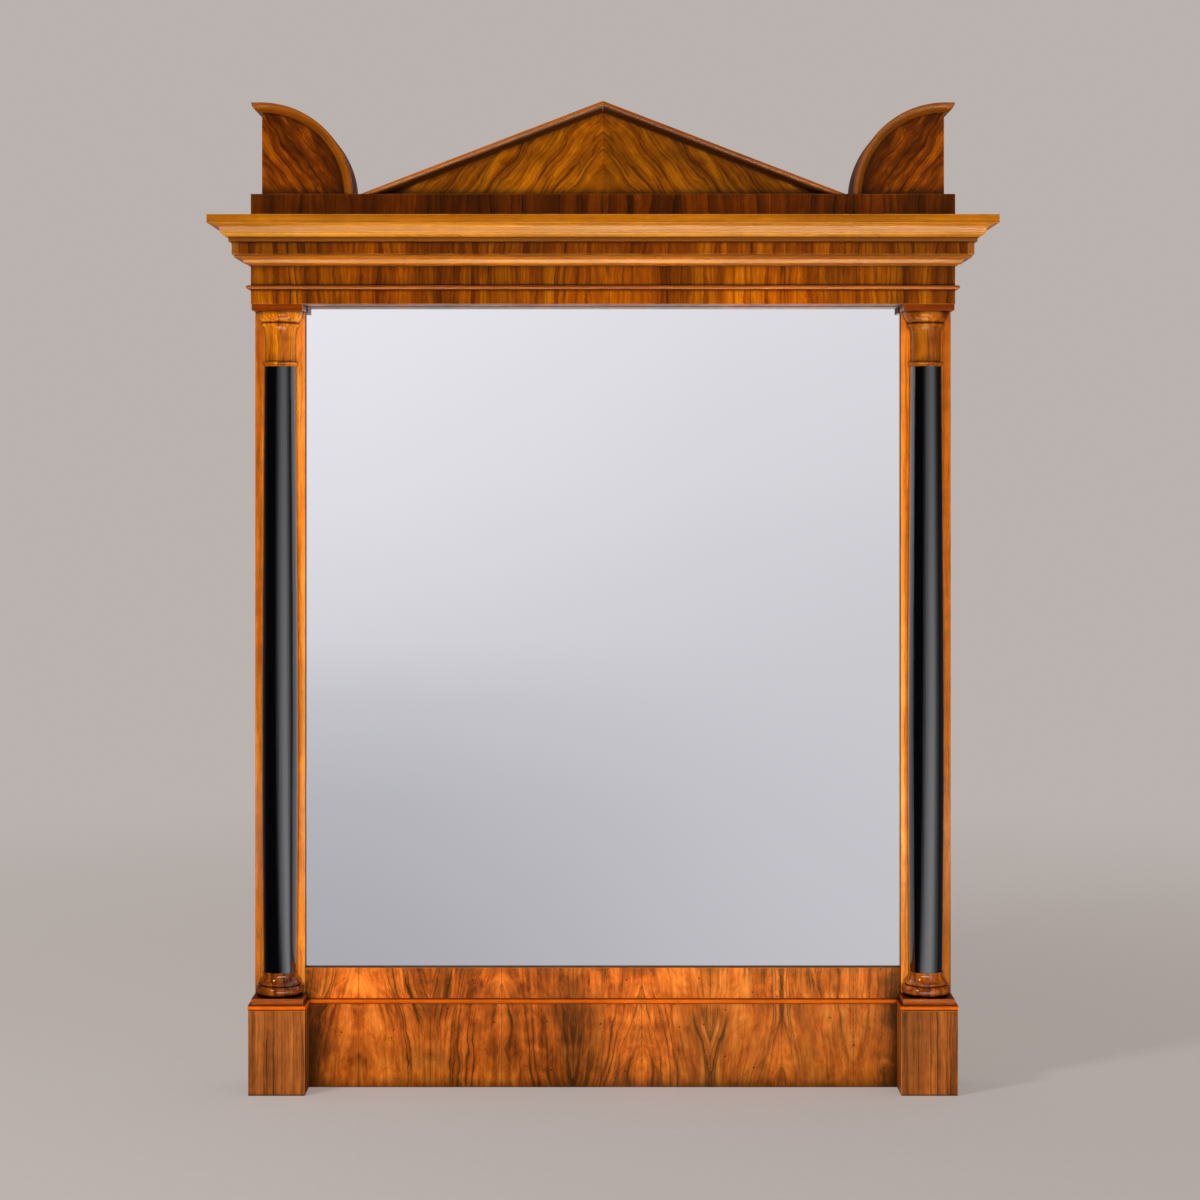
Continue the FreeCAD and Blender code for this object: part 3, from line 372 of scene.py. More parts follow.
def grain_look(graph, place, look):
    """Colour, roughness and height of wood whose grain runs along the Z of place."""
    seed = (look["seed"] * 1.37, look["seed"] * 0.61, look["seed"] * 0.29)
    place = graph.vector("ADD", place, seed)
    pull = look["pull"]
    swirl = graph.noise_vector(place, look["swirl_scale"], 2.0)
    swirl = graph.vector("MULTIPLY", swirl, (look["swirl"], look["swirl"], look["swirl"] * 0.4))
    drift = graph.noise_vector(graph.drawn(place, 0.35), 60.0, 1.0)
    drift = graph.scaled(drift, look["drift"])
    bent = graph.vector("ADD", graph.vector("ADD", place, swirl), drift)
    long = graph.drawn(bent, pull)
    longer = graph.drawn(bent, pull * 0.35)

    bands = graph.noise(long, look["band_scale"], 3.0, 0.55)
    streaks = graph.noise(long, look["band_scale"] * 3.5, 5.0, 0.68)
    fibres = graph.noise(longer, 520.0, 2.0, 0.6)
    tone = graph.plus(graph.times(bands, 0.45), graph.times(streaks, 0.40))
    tone = graph.plus(tone, graph.times(fibres, 0.15))
    if look["mottle"]:
        blots = graph.minus(graph.noise(graph.drawn(bent, 0.5), 75.0, 5.0, 0.62, 0.8), 0.5)
        tone = graph.plus(tone, graph.times(blots, look["mottle"]))
    rate, warp, width = look["rate"], look["warp"], look["width"]
    wide, wide_shade, ring = growth_lines(graph, bent, look, rate, warp, width)
    fine, fine_shade, band = growth_lines(graph, bent, look, rate * 3.7, warp * 2.4, 0.08)
    tone = graph.minus(tone, graph.times(wide_shade, look["shade"]))
    tone = graph.minus(tone, graph.times(fine_shade, look["shade"] * 0.5))
    for number, share in ((ring, 0.6), (band, 0.4)):
        step = graph.times(graph.minus(number, 0.5), look["jump"] * share)
        tone = graph.plus(tone, step)
    colour = graph.ramp(tone, look["tones"], "B_SPLINE")

    # smoky areas, and growth lines that gather in them
    smoke = graph.drawn(bent, pull * 1.6)
    smoke = graph.noise(smoke, look["smoke_scale"], 3.0)
    thick = graph.span(smoke, 0.46, 0.68)
    colour = graph.mix(graph.times(thick, look["smoke"]), colour, look["vein"])
    gather = graph.span(smoke, 0.34, 0.56, 0.5, 1.0)
    veins = graph.times(graph.times(wide, gather), look["vein_depth"])
    threads = graph.times(graph.times(fine, gather), look["thread_depth"])
    colour = graph.mix(graph.math("MAXIMUM", veins, threads), colour, look["vein"])

    for rate, sway, width, depth in look["ink"]:
        ink = graph.times(ink_lines(graph, bent, rate, sway, width), depth)
        colour = graph.mix(ink, colour, look["vein"])

    # pores: short fine dashes
    dashes = graph.noise(graph.drawn(bent, 0.06), 1500.0, 1.0)
    pores = graph.span(dashes, 0.58, 0.72)
    colour = graph.mix(graph.times(pores, 0.35), colour, look["vein"])

    # light that the fibres' slope throws back in soft bars across the grain
    bars = graph.noise(graph.vector("MULTIPLY", bent, (0.5, 0.5, 1.3)), look["bar_scale"], 1.0)
    lift = graph.vary(bars, 1.0 - look["bars"], 1.0 + look["bars"])
    patch = graph.noise(graph.vector("ADD", place, (3.1, 1.7, 0.4)), 7.0, 2.0)
    spread = look["patch"]
    lift = graph.times(lift, graph.vary(patch, 1.0 - spread, 1.0 + spread))
    colour = graph.tint(colour, graph.join(lift, lift, lift))
    height = graph.minus(graph.times(fibres, 0.4), pores)
    return colour, pores, height


def dust_and_painted_shade(graph, colour, dust_and_shade_colour, reach, strength):
    """Darker where ambient occlusion finds a corner between the pieces: old polish and dust, and painted
    shade there.
    """
    shade = graph.add("ShaderNodeAmbientOcclusion", None, reach, samples=8)
    open_share = graph.span(shade.outputs["AO"], 0.35, 0.95)
    hidden = graph.times(graph.minus(1.0, open_share), strength)
    return graph.mix(hidden, colour, dust_and_shade_colour)


def worm_holes(graph, colour, shade):
    """Small dark round holes, scattered over the front."""
    x, y, z = graph.split(graph.place)
    middle, numbers = graph.cells(graph.join(x, z, 0.0), 32.0, "2D")
    chosen = graph.math("GREATER_THAN", numbers[0], 0.72)
    hole = graph.times(graph.span(middle, *HOLE_EDGE, 1.0, 0.0), chosen)
    return graph.mix(graph.times(hole, 0.9), colour, shade)


def painted_hollow_shadow(graph, colour, shade):
    """Painted shadow on the lower half of the raking mouldings and in the corner under them."""
    x, y, z = graph.split(graph.place)
    drop = graph.times(graph.minus(APEX_LEVEL, z), math.cos(PEDIMENT_SLOPE))
    run = graph.times(graph.absolute(x), math.sin(PEDIMENT_SLOPE))
    below = graph.minus(drop, run)
    dark = graph.span(below, HOLLOW_EDGE, HOLLOW_EDGE + HOLLOW_EDGE_FADE)
    above = graph.span(below, HOLLOW_FOOT, HOLLOW_FOOT + HOLLOW_FOOT_FADE, 1.0, 0.0)
    return graph.mix(graph.times(graph.times(dark, above), 0.93), colour, shade)


def paler_above(graph, colour, setting):
    """Colour made lighter above a level."""
    level, factor = setting
    lift = graph.span(graph.split(graph.place)[2], level, level + TONE_EDGE, 1.0, factor)
    return graph.tint(colour, graph.join(lift, lift, lift))


def painted_end_shadows(graph, colour, setting):
    """Painted shadow near both sides of a board, painted shade right of its middle, and a warmer foot."""
    inner, outer, shade = setting
    x, y, z = graph.split(graph.place)
    cloud = graph.span(graph.noise(graph.place, 55.0, 3.0, 0.6), 0.25, 0.75, 0.35, 1.0)
    near = graph.times(graph.span(graph.absolute(x), inner, outer), cloud)
    colour = graph.mix(near, colour, shade)
    warm = graph.mix(graph.span(z, 0.0, WARM_FOOT), (0.80, 0.84, 0.62, 1.0), PLAIN)
    colour = graph.tint(colour, warm)
    dull = graph.mix(graph.span(x, *SHADED_SIDE), PLAIN, (0.85, 0.88, 0.94, 1.0))
    return graph.tint(colour, dull)


# Tints a colour by a factor. Left and right copies of some pieces get different factors: painted light and
# shade on the two sides.
def cast(graph, colour, factor):
    return graph.tint(colour, factor)


def painted_strip_light(graph, colour, factors):
    """Painted light on a stile: one tone between the column and the mirror, and another outside of the
    column.
    """
    side = graph.absolute(graph.split(graph.place)[0])
    inside = graph.span(side, AXIS_X - STRIP_BLEND, AXIS_X + STRIP_BLEND, 1.0, 0.0)
    return graph.tint(colour, graph.mix(inside, factors[1], factors[0]))


def rubbed_band(graph, colour, setting):
    """A painted highlight: a pale band on the most projecting part of a moulding, between two levels."""
    low, high, pale = setting
    level = graph.split(graph.place)[2]
    edge = (high - low) * 0.3
    band = graph.span(level, high - edge, high, 1.0, 0.0)
    band = graph.times(graph.span(level, low, low + edge), band)
    long = graph.vector("MULTIPLY", graph.place, (9.0, 60.0, 60.0))
    patchy = graph.vary(graph.noise(long, 1.0, 4.0), 0.3, 0.8)
    return graph.mix(graph.times(band, patchy), colour, pale)


def dusty_and_shaded_tops(graph, colour, share):
    """Dust and painted shade on faces that look up."""
    upward = graph.facing()[2]
    dusty = graph.vary(graph.noise(graph.place, 90.0, 3.0), share * 0.8, share)
    return graph.mix(graph.times(graph.span(upward, 0.55, 0.9), dusty), colour, srgb(34, 14, 5))


def left_leaf(graph, colour, factor):
    """A lighter leaf of veneer on the left half."""
    leaf = graph.span(graph.split(graph.place)[0], -0.001, 0.001)
    return graph.tint(colour, graph.mix(leaf, factor, PLAIN))


def dark_foot(graph, colour, setting):
    """Darker wood under a level."""
    level, shade = setting
    under = graph.span(graph.split(graph.place)[2], level, level + TONE_EDGE, 0.8, 0.0)
    return graph.mix(under, colour, shade)


# What a look can ask for on top of its grain, in the order in which it is laid
MARKS = (("holes", worm_holes), ("upper", paler_above), ("ends", painted_end_shadows), ("cast", cast),
         ("strips", painted_strip_light), ("proud", rubbed_band), ("ledge", dusty_and_shaded_tops),
         ("left_leaf", left_leaf), ("dark_foot", dark_foot), ("hollow", painted_hollow_shadow))


def wood(name, grain, look, figure=None, worn=False):
    """A polished wood finish, or the same wood where an arris is worn pale, which is wear and also a
    painted highlight along it.
    """
    graph = Graph(name + "_arris" if worn else name)
    seams = None
    if figure == "leaves":
        place, seams = matched_leaves(graph)
    elif figure == "corner":
        place = round_corner(graph)
    elif figure is not None:
        place = slanted(graph, *figure)
    else:
        place = along_axis(graph, grain)
    colour, pores, height = grain_look(graph, place, look)
    if seams is not None:
        colour = graph.mix(graph.times(seams, 0.55), colour, look["vein"])
    for key, mark in MARKS:
        if key in look:
            colour = mark(graph, colour, look[key])
    bare = None
    if look["bare_back"]:
        behind = graph.facing()[1]
        bare = graph.math("GREATER_THAN", behind, 0.5)
        dusty = graph.noise(graph.vector("MULTIPLY", graph.place, (14.0, 60.0, 220.0)), 1.0, 4.0)
        plain = graph.mix(dusty, srgb(112, 80, 52), srgb(164, 126, 86))
        colour = graph.mix(bare, colour, plain)
    # On the arrises: worn pale, and a painted highlight along them
    if worn:
        rubbed = graph.noise(graph.place, 40.0, 4.0, 0.6)
        rubbed = graph.span(rubbed, 0.35, 0.6, 0.15, look["rub"])
        colour = graph.mix(rubbed, colour, look["rubbed"])
    # Darker in corners: dust and painted shade
    colour = dust_and_painted_shade(graph, colour, look["dust_and_shade_colour"], look["grime_reach"], look["grime"])
    soft = graph.noise(graph.place, 18.0, 2.0)
    gloss = look["gloss"]
    roughness = graph.vary(soft, gloss, gloss + 0.12)
    roughness = graph.plus(roughness, graph.times(pores, 0.15))
    if bare is not None:
        roughness = graph.plus(roughness, graph.times(bare, 0.4))
    wave = graph.noise(graph.place, 26.0, 1.0)
    normal = graph.bump(wave, look["wave"], distance=0.0012)
    normal = graph.bump(height, look["relief"], distance=0.00025, below=normal)
    return graph.finish(colour, roughness, normal, specular_ior_level=look["shine"],
                        specular_tint=look["tint"], coat_weight=look["coat"],
                        coat_roughness=look["coat_blur"])


def tones(*colours, low=0.33, high=0.63):
    """Evenly spread stops, from the darkest to the lightest."""
    step = (high - low) / (len(colours) - 1)
    return [(low + step * index, srgb(*colour)) for index, colour in enumerate(colours)]


# What a look is where it says nothing else
USUAL = dict(swirl_scale=14.0, drift=0.003, mottle=0.0, width=0.034, shade=0.07, jump=0.0, smoke_scale=11.0,
             smoke=0.35, vein_depth=0.8, thread_depth=0.4, ink=(), bar_scale=45.0, bars=0.08, patch=0.14,
             bare_back=False, rub=0.7, rubbed=srgb(214, 136, 62), dust_and_shade_colour=srgb(30, 11, 3), grime_reach=0.006,
             grime=0.85, gloss=0.28, wave=0.25, relief=0.18, shine=0.28, tint=POLISH_TINT, coat=0.06,
             coat_blur=0.1)
# Straight, fine grain of mouldings
FINE = dict(swirl=0.004, pull=0.02, band_scale=90.0, field_scale=10.0, rate=200.0, warp=1.5)
# Veneer with its grain upright
BANDED = dict(seed=11.0, swirl=0.008, swirl_scale=30.0, pull=0.06, drift=0.004, band_scale=34.0,
              field_scale=9.0, warp=2.2, shade=0.09, smoke=0.4, thread_depth=0.3, patch=0.25)
# Curly grain of turned pieces
TURNED = dict(swirl=0.014, pull=0.10, band_scale=40.0, field_scale=12.0, rate=70.0, warp=3.0,
              vein_depth=0.85)
LOOKS = {
    "base": dict(
        seed=3.0, swirl=0.011, swirl_scale=13.0, pull=0.16, band_scale=24.0, field_scale=9.0, rate=36.0,
        warp=2.4, width=0.06, shade=0.08, smoke=0.5, smoke_scale=21.0, thread_depth=0.35, drift=0.009,
        vein_depth=0.6, patch=0.2, jump=0.05, mottle=0.42,
        tones=tones((98, 34, 7), (158, 69, 17), (204, 97, 28), (230, 121, 38), (246, 145, 60), high=0.65),
        vein=srgb(34, 12, 4), bars=0.12, holes=srgb(30, 14, 6), grime_reach=0.02,
        ink=((46.0, 0.05, 0.0011, 0.95), (70.0, 0.04, 0.0008, 0.9), (130.0, 0.03, 0.0005, 0.6)),
        ends=(0.318, 0.366, srgb(44, 16, 5)), upper=(BEAD_LEVEL, 1.45)),
    "plinth": dict(
        seed=5.0, swirl=0.006, pull=0.03, band_scale=70.0, field_scale=12.0, rate=120.0, warp=1.6,
        shade=0.13, mottle=0.12,
        tones=tones((70, 34, 14), (136, 70, 28), (176, 96, 40), (200, 116, 54), low=0.37, high=0.61),
        vein=srgb(48, 23, 12), vein_depth=0.7, thread_depth=0.25, smoke=0.5, jump=0.08,
        ink=((62.0, 0.008, 0.0012, 0.6),)),
    "stile": dict(
        seed=8.0, swirl=0.010, pull=0.03, band_scale=50.0, field_scale=10.0, rate=90.0, warp=2.0,
        tones=tones((172, 76, 10), (212, 106, 24), (234, 128, 42), (246, 154, 76)), vein=srgb(112, 48, 12),
        vein_depth=0.8, smoke=0.4, rub=0.3, jump=0.12, patch=0.22, grime=0.75, grime_reach=0.0035,
        dust_and_shade_colour=srgb(52, 20, 4), ink=((60.0, 0.004, 0.0006, 0.5),),
        strips=((1.85, 2.2, 2.3, 1.0), (0.98, 0.98, 0.62, 1.0))),
    "cross": dict(
        BANDED, rate=40.0, jump=0.13, tones=tones((82, 32, 1), (148, 65, 1), (188, 93, 2), (230, 136, 8)),
        grime=1.0, dust_and_shade_colour=srgb(14, 5, 1), vein=srgb(26, 9, 1), vein_depth=0.75,
        ink=((9.0, 0.004, 0.0013, 0.95), (30.0, 0.006, 0.0010, 0.85))),
    "attic": dict(
        BANDED, rate=32.0, jump=0.11, tones=tones((54, 19, 1), (96, 37, 1), (122, 51, 1), (154, 72, 2)),
        vein=srgb(10, 4, 1), vein_depth=0.8, rub=0.55, rubbed=srgb(176, 104, 48),
        ink=((12.0, 0.004, 0.0016, 1.0), (32.0, 0.004, 0.0009, 0.9))),
    "bead": dict(
        FINE, seed=14.0, swirl=0.003, band_scale=80.0, warp=1.0,
        tones=tones((206, 80, 3), (232, 98, 3), (242, 108, 6), (248, 122, 16)), vein=srgb(150, 58, 6),
        vein_depth=0.4, smoke=0.15, grime=1.0, dust_and_shade_colour=srgb(20, 6, 1), ledge=0.7),
    "moulding": dict(
        FINE, seed=17.0, swirl=0.005, rate=170.0,
        tones=tones((160, 84, 2), (184, 104, 3), (202, 122, 8), (222, 144, 34)), vein=srgb(116, 56, 6),
        vein_depth=0.35, thread_depth=0.25, smoke=0.2, bars=0.05, shine=0.5, coat=0.10, gloss=0.26,
        tint=PALE_POLISH_TINT, rub=0.5, rubbed=srgb(222, 150, 84)),
    "crest": dict(
        FINE, seed=22.0, swirl=0.005, rate=170.0,
        tones=tones((104, 50, 2), (142, 74, 4), (168, 94, 10), (196, 120, 30)), vein=srgb(60, 26, 4),
        vein_depth=0.5, thread_depth=0.3, smoke=0.45, shine=0.45, coat=0.1, tint=PALE_POLISH_TINT),
    "rail": dict(
        FINE, seed=21.0, tones=tones((116, 47, 3), (150, 68, 6), (174, 86, 11), (202, 112, 26)),
        vein=srgb(64, 28, 8), vein_depth=0.5, smoke=0.25, shine=0.5, coat=0.1, tint=PALE_POLISH_TINT),
    "foot": dict(
        FINE, seed=18.0, tones=tones((130, 50, 10), (168, 72, 20), (190, 90, 32), (212, 112, 52)),
        vein=srgb(80, 32, 8), vein_depth=0.5, smoke=0.35, grime=1.0, grime_reach=0.009, dust_and_shade_colour=srgb(18, 6, 2),
        ledge=0.75),
    "plate": dict(
        FINE, seed=22.0, tones=tones((100, 35, 1), (136, 51, 1), (152, 60, 2), (178, 78, 6)),
        vein=srgb(50, 18, 3), vein_depth=0.5, smoke=0.3),
    "capital": dict(
        TURNED, seed=25.0,
        tones=tones((90, 38, 2), (168, 84, 5), (208, 118, 12), (240, 154, 36), low=0.37, high=0.6),
        vein=srgb(50, 20, 3), gloss=0.16, coat=0.16, patch=0.25, grime=0.98, dust_and_shade_colour=srgb(18, 6, 1)),
    "turned": dict(
        TURNED, seed=27.0,
        tones=tones((56, 18, 2), (124, 48, 6), (174, 78, 12), (222, 116, 30), low=0.36, high=0.61),
        vein=srgb(22, 8, 2), gloss=0.10, coat=0.6, coat_blur=0.04, grime=1.0, dust_and_shade_colour=srgb(12, 4, 1)),
    "pediment": dict(
        seed=29.0, swirl=0.030, swirl_scale=12.0, pull=0.12, band_scale=34.0, field_scale=10.0, rate=50.0,
        warp=3.4, shade=0.08, smoke=0.4, jump=0.06, patch=0.24,
        tones=tones((76, 32, 1), (130, 64, 1), (162, 86, 2), (204, 120, 8), low=0.34, high=0.58),
        hollow=srgb(26, 8, 2), mottle=0.2, left_leaf=(1.33, 1.33, 1.2, 1.0),
        ink=((40.0, 0.03, 0.0008, 0.8),), vein=srgb(36, 14, 1), vein_depth=0.85, grime=1.0,
        grime_reach=0.012, dust_and_shade_colour=srgb(14, 5, 1), bare_back=True),
    "corner": dict(
        seed=33.0, swirl=0.026, swirl_scale=17.0, pull=0.16, band_scale=56.0, field_scale=13.0, rate=88.0,
        warp=3.8, shade=0.08, smoke=0.45, jump=0.03,
        tones=tones((60, 21, 0), (108, 42, 0), (140, 60, 1), (188, 95, 5), low=0.36, high=0.61),
        mottle=0.24, ink=((60.0, 0.03, 0.0006, 0.7),), vein=srgb(24, 9, 1), vein_depth=0.65, grime=1.0,
        grime_reach=0.013, bare_back=True),
}


def ebonised():
    """Black polish on the shafts, with faint lengthwise streaks and rubbed spots."""
    graph = Graph("black_polish")
    x, y, z = graph.split(graph.place)
    turn = graph.math("ARCTAN2", graph.minus(y, AXIS_Y), graph.minus(graph.absolute(x), AXIS_X))
    place = graph.join(turn, graph.math("SIGN", x), graph.times(z, 0.6))
    streaks = graph.noise(place, 9.0, 3.0, 0.6)
    fine = graph.noise(graph.join(turn, 0.0, graph.times(z, 4.0)), 60.0, 2.0)
    worn = graph.noise(graph.place, 35.0, 4.0, 0.65)
    worn = graph.span(worn, 0.62, 0.74)
    colour = graph.mix(graph.times(worn, 0.35), srgb(4, 4, 5), srgb(26, 18, 14))
    roughness = graph.vary(fine, 0.10, 0.16)
    height = graph.plus(streaks, graph.times(fine, 0.08))
    normal = graph.bump(height, strength=0.16, distance=0.0012)
    return graph.finish(colour, roughness, normal, specular_ior_level=0.8, coat_weight=1.0, coat_ior=1.7,
                        coat_roughness=0.08)


def shaft_radius(share):
    """The shaft swells up to a little under its middle, and tapers from there to its head."""
    if share < BELLY_SHARE:
        return SHAFT_FOOT + (SHAFT_BELLY - SHAFT_FOOT) * math.sin(math.pi / 2 * share / BELLY_SHARE)
    above = (share - BELLY_SHARE) / (1 - BELLY_SHARE)
    return SHAFT_HEAD + (SHAFT_BELLY - SHAFT_HEAD) * (1 - above ** TAPER_POWER)


def shaft_loop(radius, back):
    """One level of the shaft round its axis: the round front, and then the flat back from left to right."""
    past = math.asin(back / radius)
    points = []
    for step in range(SHAFT_SIDES + 1):
        angle = (math.pi + 2 * past) * step / SHAFT_SIDES - past
        points.append((radius * math.cos(angle), -radius * math.sin(angle)))
    half = radius * math.cos(past)
    for step in range(1, BACK_SIDES):
        points.append((half * (2 * step / BACK_SIDES - 1), back))
    return points


def shaft_mesh(name):
    """A half round shaft with a flat back and a round tenon at each end, in one surface."""
    low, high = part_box(name)
    middle, back = (low[0] + high[0]) / 2, high[1] - AXIS_Y
    foot, head = low[2] + TENON_LENGTH, high[2] - TENON_LENGTH
    rows = []
    for ring in range(SHAFT_RINGS + 1):
        share = ring / SHAFT_RINGS
        rows.append((foot + (head - foot) * share, shaft_loop(shaft_radius(share), back), False))
    tenon = [(x / math.hypot(x, y) * TENON_RADIUS, y / math.hypot(x, y) * TENON_RADIUS)
             for x, y in rows[0][1]]
    rows = [(low[2], tenon, True), (foot, tenon, True), *rows, (head, tenon, True), (high[2], tenon, True)]
    made = bmesh.new()
    loops = [[made.verts.new((middle + x, AXIS_Y + y, level)) for x, y in points]
             for level, points, thin in rows]
    for index in range(len(loops) - 1):
        under, over = loops[index], loops[index + 1]
        thin = rows[index][2] and rows[index + 1][2]
        wide = not rows[index][2] and not rows[index + 1][2]
        for step in range(len(under)):
            face = made.faces.new((under[step], over[step], over[step - 1], under[step - 1]))
            face.smooth = thin or (wide and 0 < step <= SHAFT_SIDES)
    made.faces.new(loops[0])
    made.faces.new(loops[-1])
    for edge in made.edges:
        edge.smooth = all(face.smooth for face in edge.link_faces)
    bmesh.ops.recalc_face_normals(made, faces=made.faces)
    mesh = bpy.data.meshes.new(name + "_swelling")
    made.to_mesh(mesh)
    made.free()
    return mesh


def shafts():
    """Black shafts with the swell of the real ones, in place of the straight nodes."""
    polish = ebonised()
    for name in both("column_shaft"):
        mesh = shaft_mesh(name)
        mesh.materials.append(polish)
        piece = bpy.data.objects.new(name + "_swelling", mesh)
        bpy.context.scene.collection.objects.link(piece)
        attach(piece, "mirror_frame")
        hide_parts(name)
        shown[name] = piece


def bare_softwood(name, grain, seed, early_wood, late_wood, stain=False):
    """Old unpolished softwood: growth rings, a few knots, and grey dust in the pores."""
    graph = Graph(name)
    place = graph.vector("ADD", along_axis(graph, grain), (seed, seed * 0.7, seed * 0.3))
    middle, numbers = graph.cells(graph.drawn(place, 0.55), 7.0)
    chosen = graph.math("GREATER_THAN", numbers[1], 0.6)
    near = graph.times(graph.span(middle, 0.03, 0.34, 1.0, 0.0), chosen)
    across, depth, along = graph.split(place)
    push = graph.times(near, 0.028)
    drift = graph.noise(graph.drawn(place, 0.15), 9.0, 2.0)
    offset = graph.plus(push, graph.times(drift, 0.05))
    rings = graph.plus(graph.plus(across, graph.times(depth, 0.4)), offset)
    saw = graph.math("FRACT", graph.times(rings, 150.0))
    late = graph.span(saw, 0.55, 0.95, 0.0, 1.0)
    fibres = graph.noise(graph.drawn(place, 0.02), 500.0, 2.0)
    colour = graph.mix(graph.times(late, 0.55), early_wood, late_wood)
    colour = graph.mix(graph.times(fibres, 0.35), colour, srgb(104, 76, 50))
    knot = graph.times(graph.span(middle, 0.035, 0.075, 1.0, 0.0), chosen)
    colour = graph.mix(graph.times(knot, 0.85), colour, srgb(70, 38, 20))
    dust = graph.noise(graph.place, 9.0, 5.0, 0.6)
    colour = graph.mix(graph.span(dust, 0.42, 0.75, 0.0, 0.45), colour, srgb(120, 104, 86))
    if stain:
        facing = graph.facing()[0]
        side = graph.math("GREATER_THAN", graph.absolute(facing), 0.5)
        out = graph.absolute(graph.split(graph.place)[0])
        out = graph.math("GREATER_THAN", out, OUTER_SIDE)
        brown = graph.mix(fibres, srgb(74, 36, 14), srgb(122, 66, 28))
        cover = graph.times(graph.times(side, out), 0.93)
        colour = graph.mix(cover, colour, brown)
    # Darker in corners: dust and painted shade
    colour = dust_and_painted_shade(graph, colour, srgb(58, 40, 26), reach=0.006, strength=0.7)
    height = graph.plus(graph.times(late, 0.5), fibres)
    normal = graph.bump(height, strength=0.4, distance=0.0004)
    return graph.finish(colour, graph.vary(fibres, 0.62, 0.85), normal, specular_ior_level=0.25)


def silvered_glass():
    """Old plate glass, very slightly uneven, over silver."""
    graph = Graph("silvered_glass")
    haze = graph.noise(graph.place, 5.0, 3.0)
    colour = graph.mix(haze, srgb(238, 237, 240), srgb(241, 240, 241))
    # Darker in corners: dust and painted shade
    colour = dust_and_painted_shade(graph, colour, srgb(120, 116, 112), reach=0.003, strength=0.5)
    wave = graph.noise(graph.place, 3.0, 1.0)
    normal = graph.bump(wave, strength=0.02, distance=0.002)
    return graph.finish(colour, 0.0, normal, metallic=1.0)


def old_metal(name, clean, dull, seed):
    """Brass or iron that has gone dull, brighter where it rubs."""
    graph = Graph(name)
    place = graph.vector("ADD", graph.place, (seed, seed, seed))
    cloud = graph.noise(place, 160.0, 4.0, 0.6)
    speck = graph.noise(place, 900.0, 2.0)
    colour = graph.mix(graph.span(cloud, 0.35, 0.65), clean, dull)
    colour = graph.mix(graph.span(speck, 0.62, 0.7, 0.0, 0.5), colour, srgb(50, 36, 22))
    # Darker in corners: dust and painted shade
    colour = dust_and_painted_shade(graph, colour, srgb(40, 28, 16), reach=0.002, strength=0.7)
    roughness = graph.vary(cloud, 0.28, 0.5)
    normal = graph.bump(speck, strength=0.2, distance=0.0002)
    return graph.finish(colour, roughness, normal, metallic=1.0)


# Painted highlight bands on the crown and bed mouldings: lowest level, highest level and pale colour
CROWN_HIGHLIGHT_BAND = (1.0370, 1.0455, srgb(196, 142, 88))
BED_HIGHLIGHT_BAND = (1.0034, 1.0074, srgb(222, 160, 96))
BED_TONES = tones((130, 62, 2), (156, 79, 2), (173, 94, 5), (195, 116, 20))
FRIEZE_TONES = tones((72, 28, 1), (128, 56, 1), (164, 82, 2), (208, 120, 8))
FASCIA_TONES = tones((60, 23, 1), (116, 48, 1), (148, 70, 2), (184, 104, 6))
SIDE_TONES = tones((112, 56, 3), (140, 74, 4), (160, 88, 8), (184, 106, 18))
LINE_TONES = tones((112, 50, 6), (148, 70, 14), (170, 88, 24), (206, 120, 50))
CORNICE_TONES = tones((142, 73, 1), (164, 91, 1), (180, 106, 3), (202, 128, 22))
ARRIS_WIDTH = 0.0006
ARRIS_ANGLE = math.radians(32)
WELD_REACH = 0.00001
# The back boards: seed, early wood and late wood
BOARDS = (("left", 6.3, srgb(170, 134, 96), srgb(122, 84, 52)),
          ("middle", 2.0, srgb(190, 150, 104), srgb(138, 94, 54)),
          ("right", 9.1, srgb(158, 120, 80), srgb(110, 72, 42)))
PEDIMENT_FIGURE = (math.radians(-50), True)
CORNER_FIGURE = (math.radians(52), True)


def dress(material, *names, arris=None):
    """Gives CAD nodes a finish and rounds their arrises a little."""
    for name in names:
        node = nodes[name]
        node.data.materials.clear()
        node.data.materials.append(material)
        if arris is None:
            continue
        node.data.materials.append(arris)
        weld = node.modifiers.new("weld", "WELD")
        weld.merge_threshold = WELD_REACH
        edge = node.modifiers.new("arris", "BEVEL")
        edge.width = ARRIS_WIDTH
        edge.segments = 2
        edge.limit_method = "ANGLE"
        edge.angle_limit = ARRIS_ANGLE
        edge.material = 1
        shade = node.modifiers.new("shade", "WEIGHTED_NORMAL")
        shade.keep_sharp = True


def look(name, **changes):
    return {**USUAL, **LOOKS[name], **changes}


def both(name):
    return name + "_left", name + "_right"


def wooden(name, finish, *names, grain="z", figure=None):
    """Dresses nodes in one wood, with its variant on the arrises, worn pale and with a painted highlight.
    """
    dress(wood(name, grain, finish, figure), *names, arris=wood(name, grain, finish, figure, worn=True))


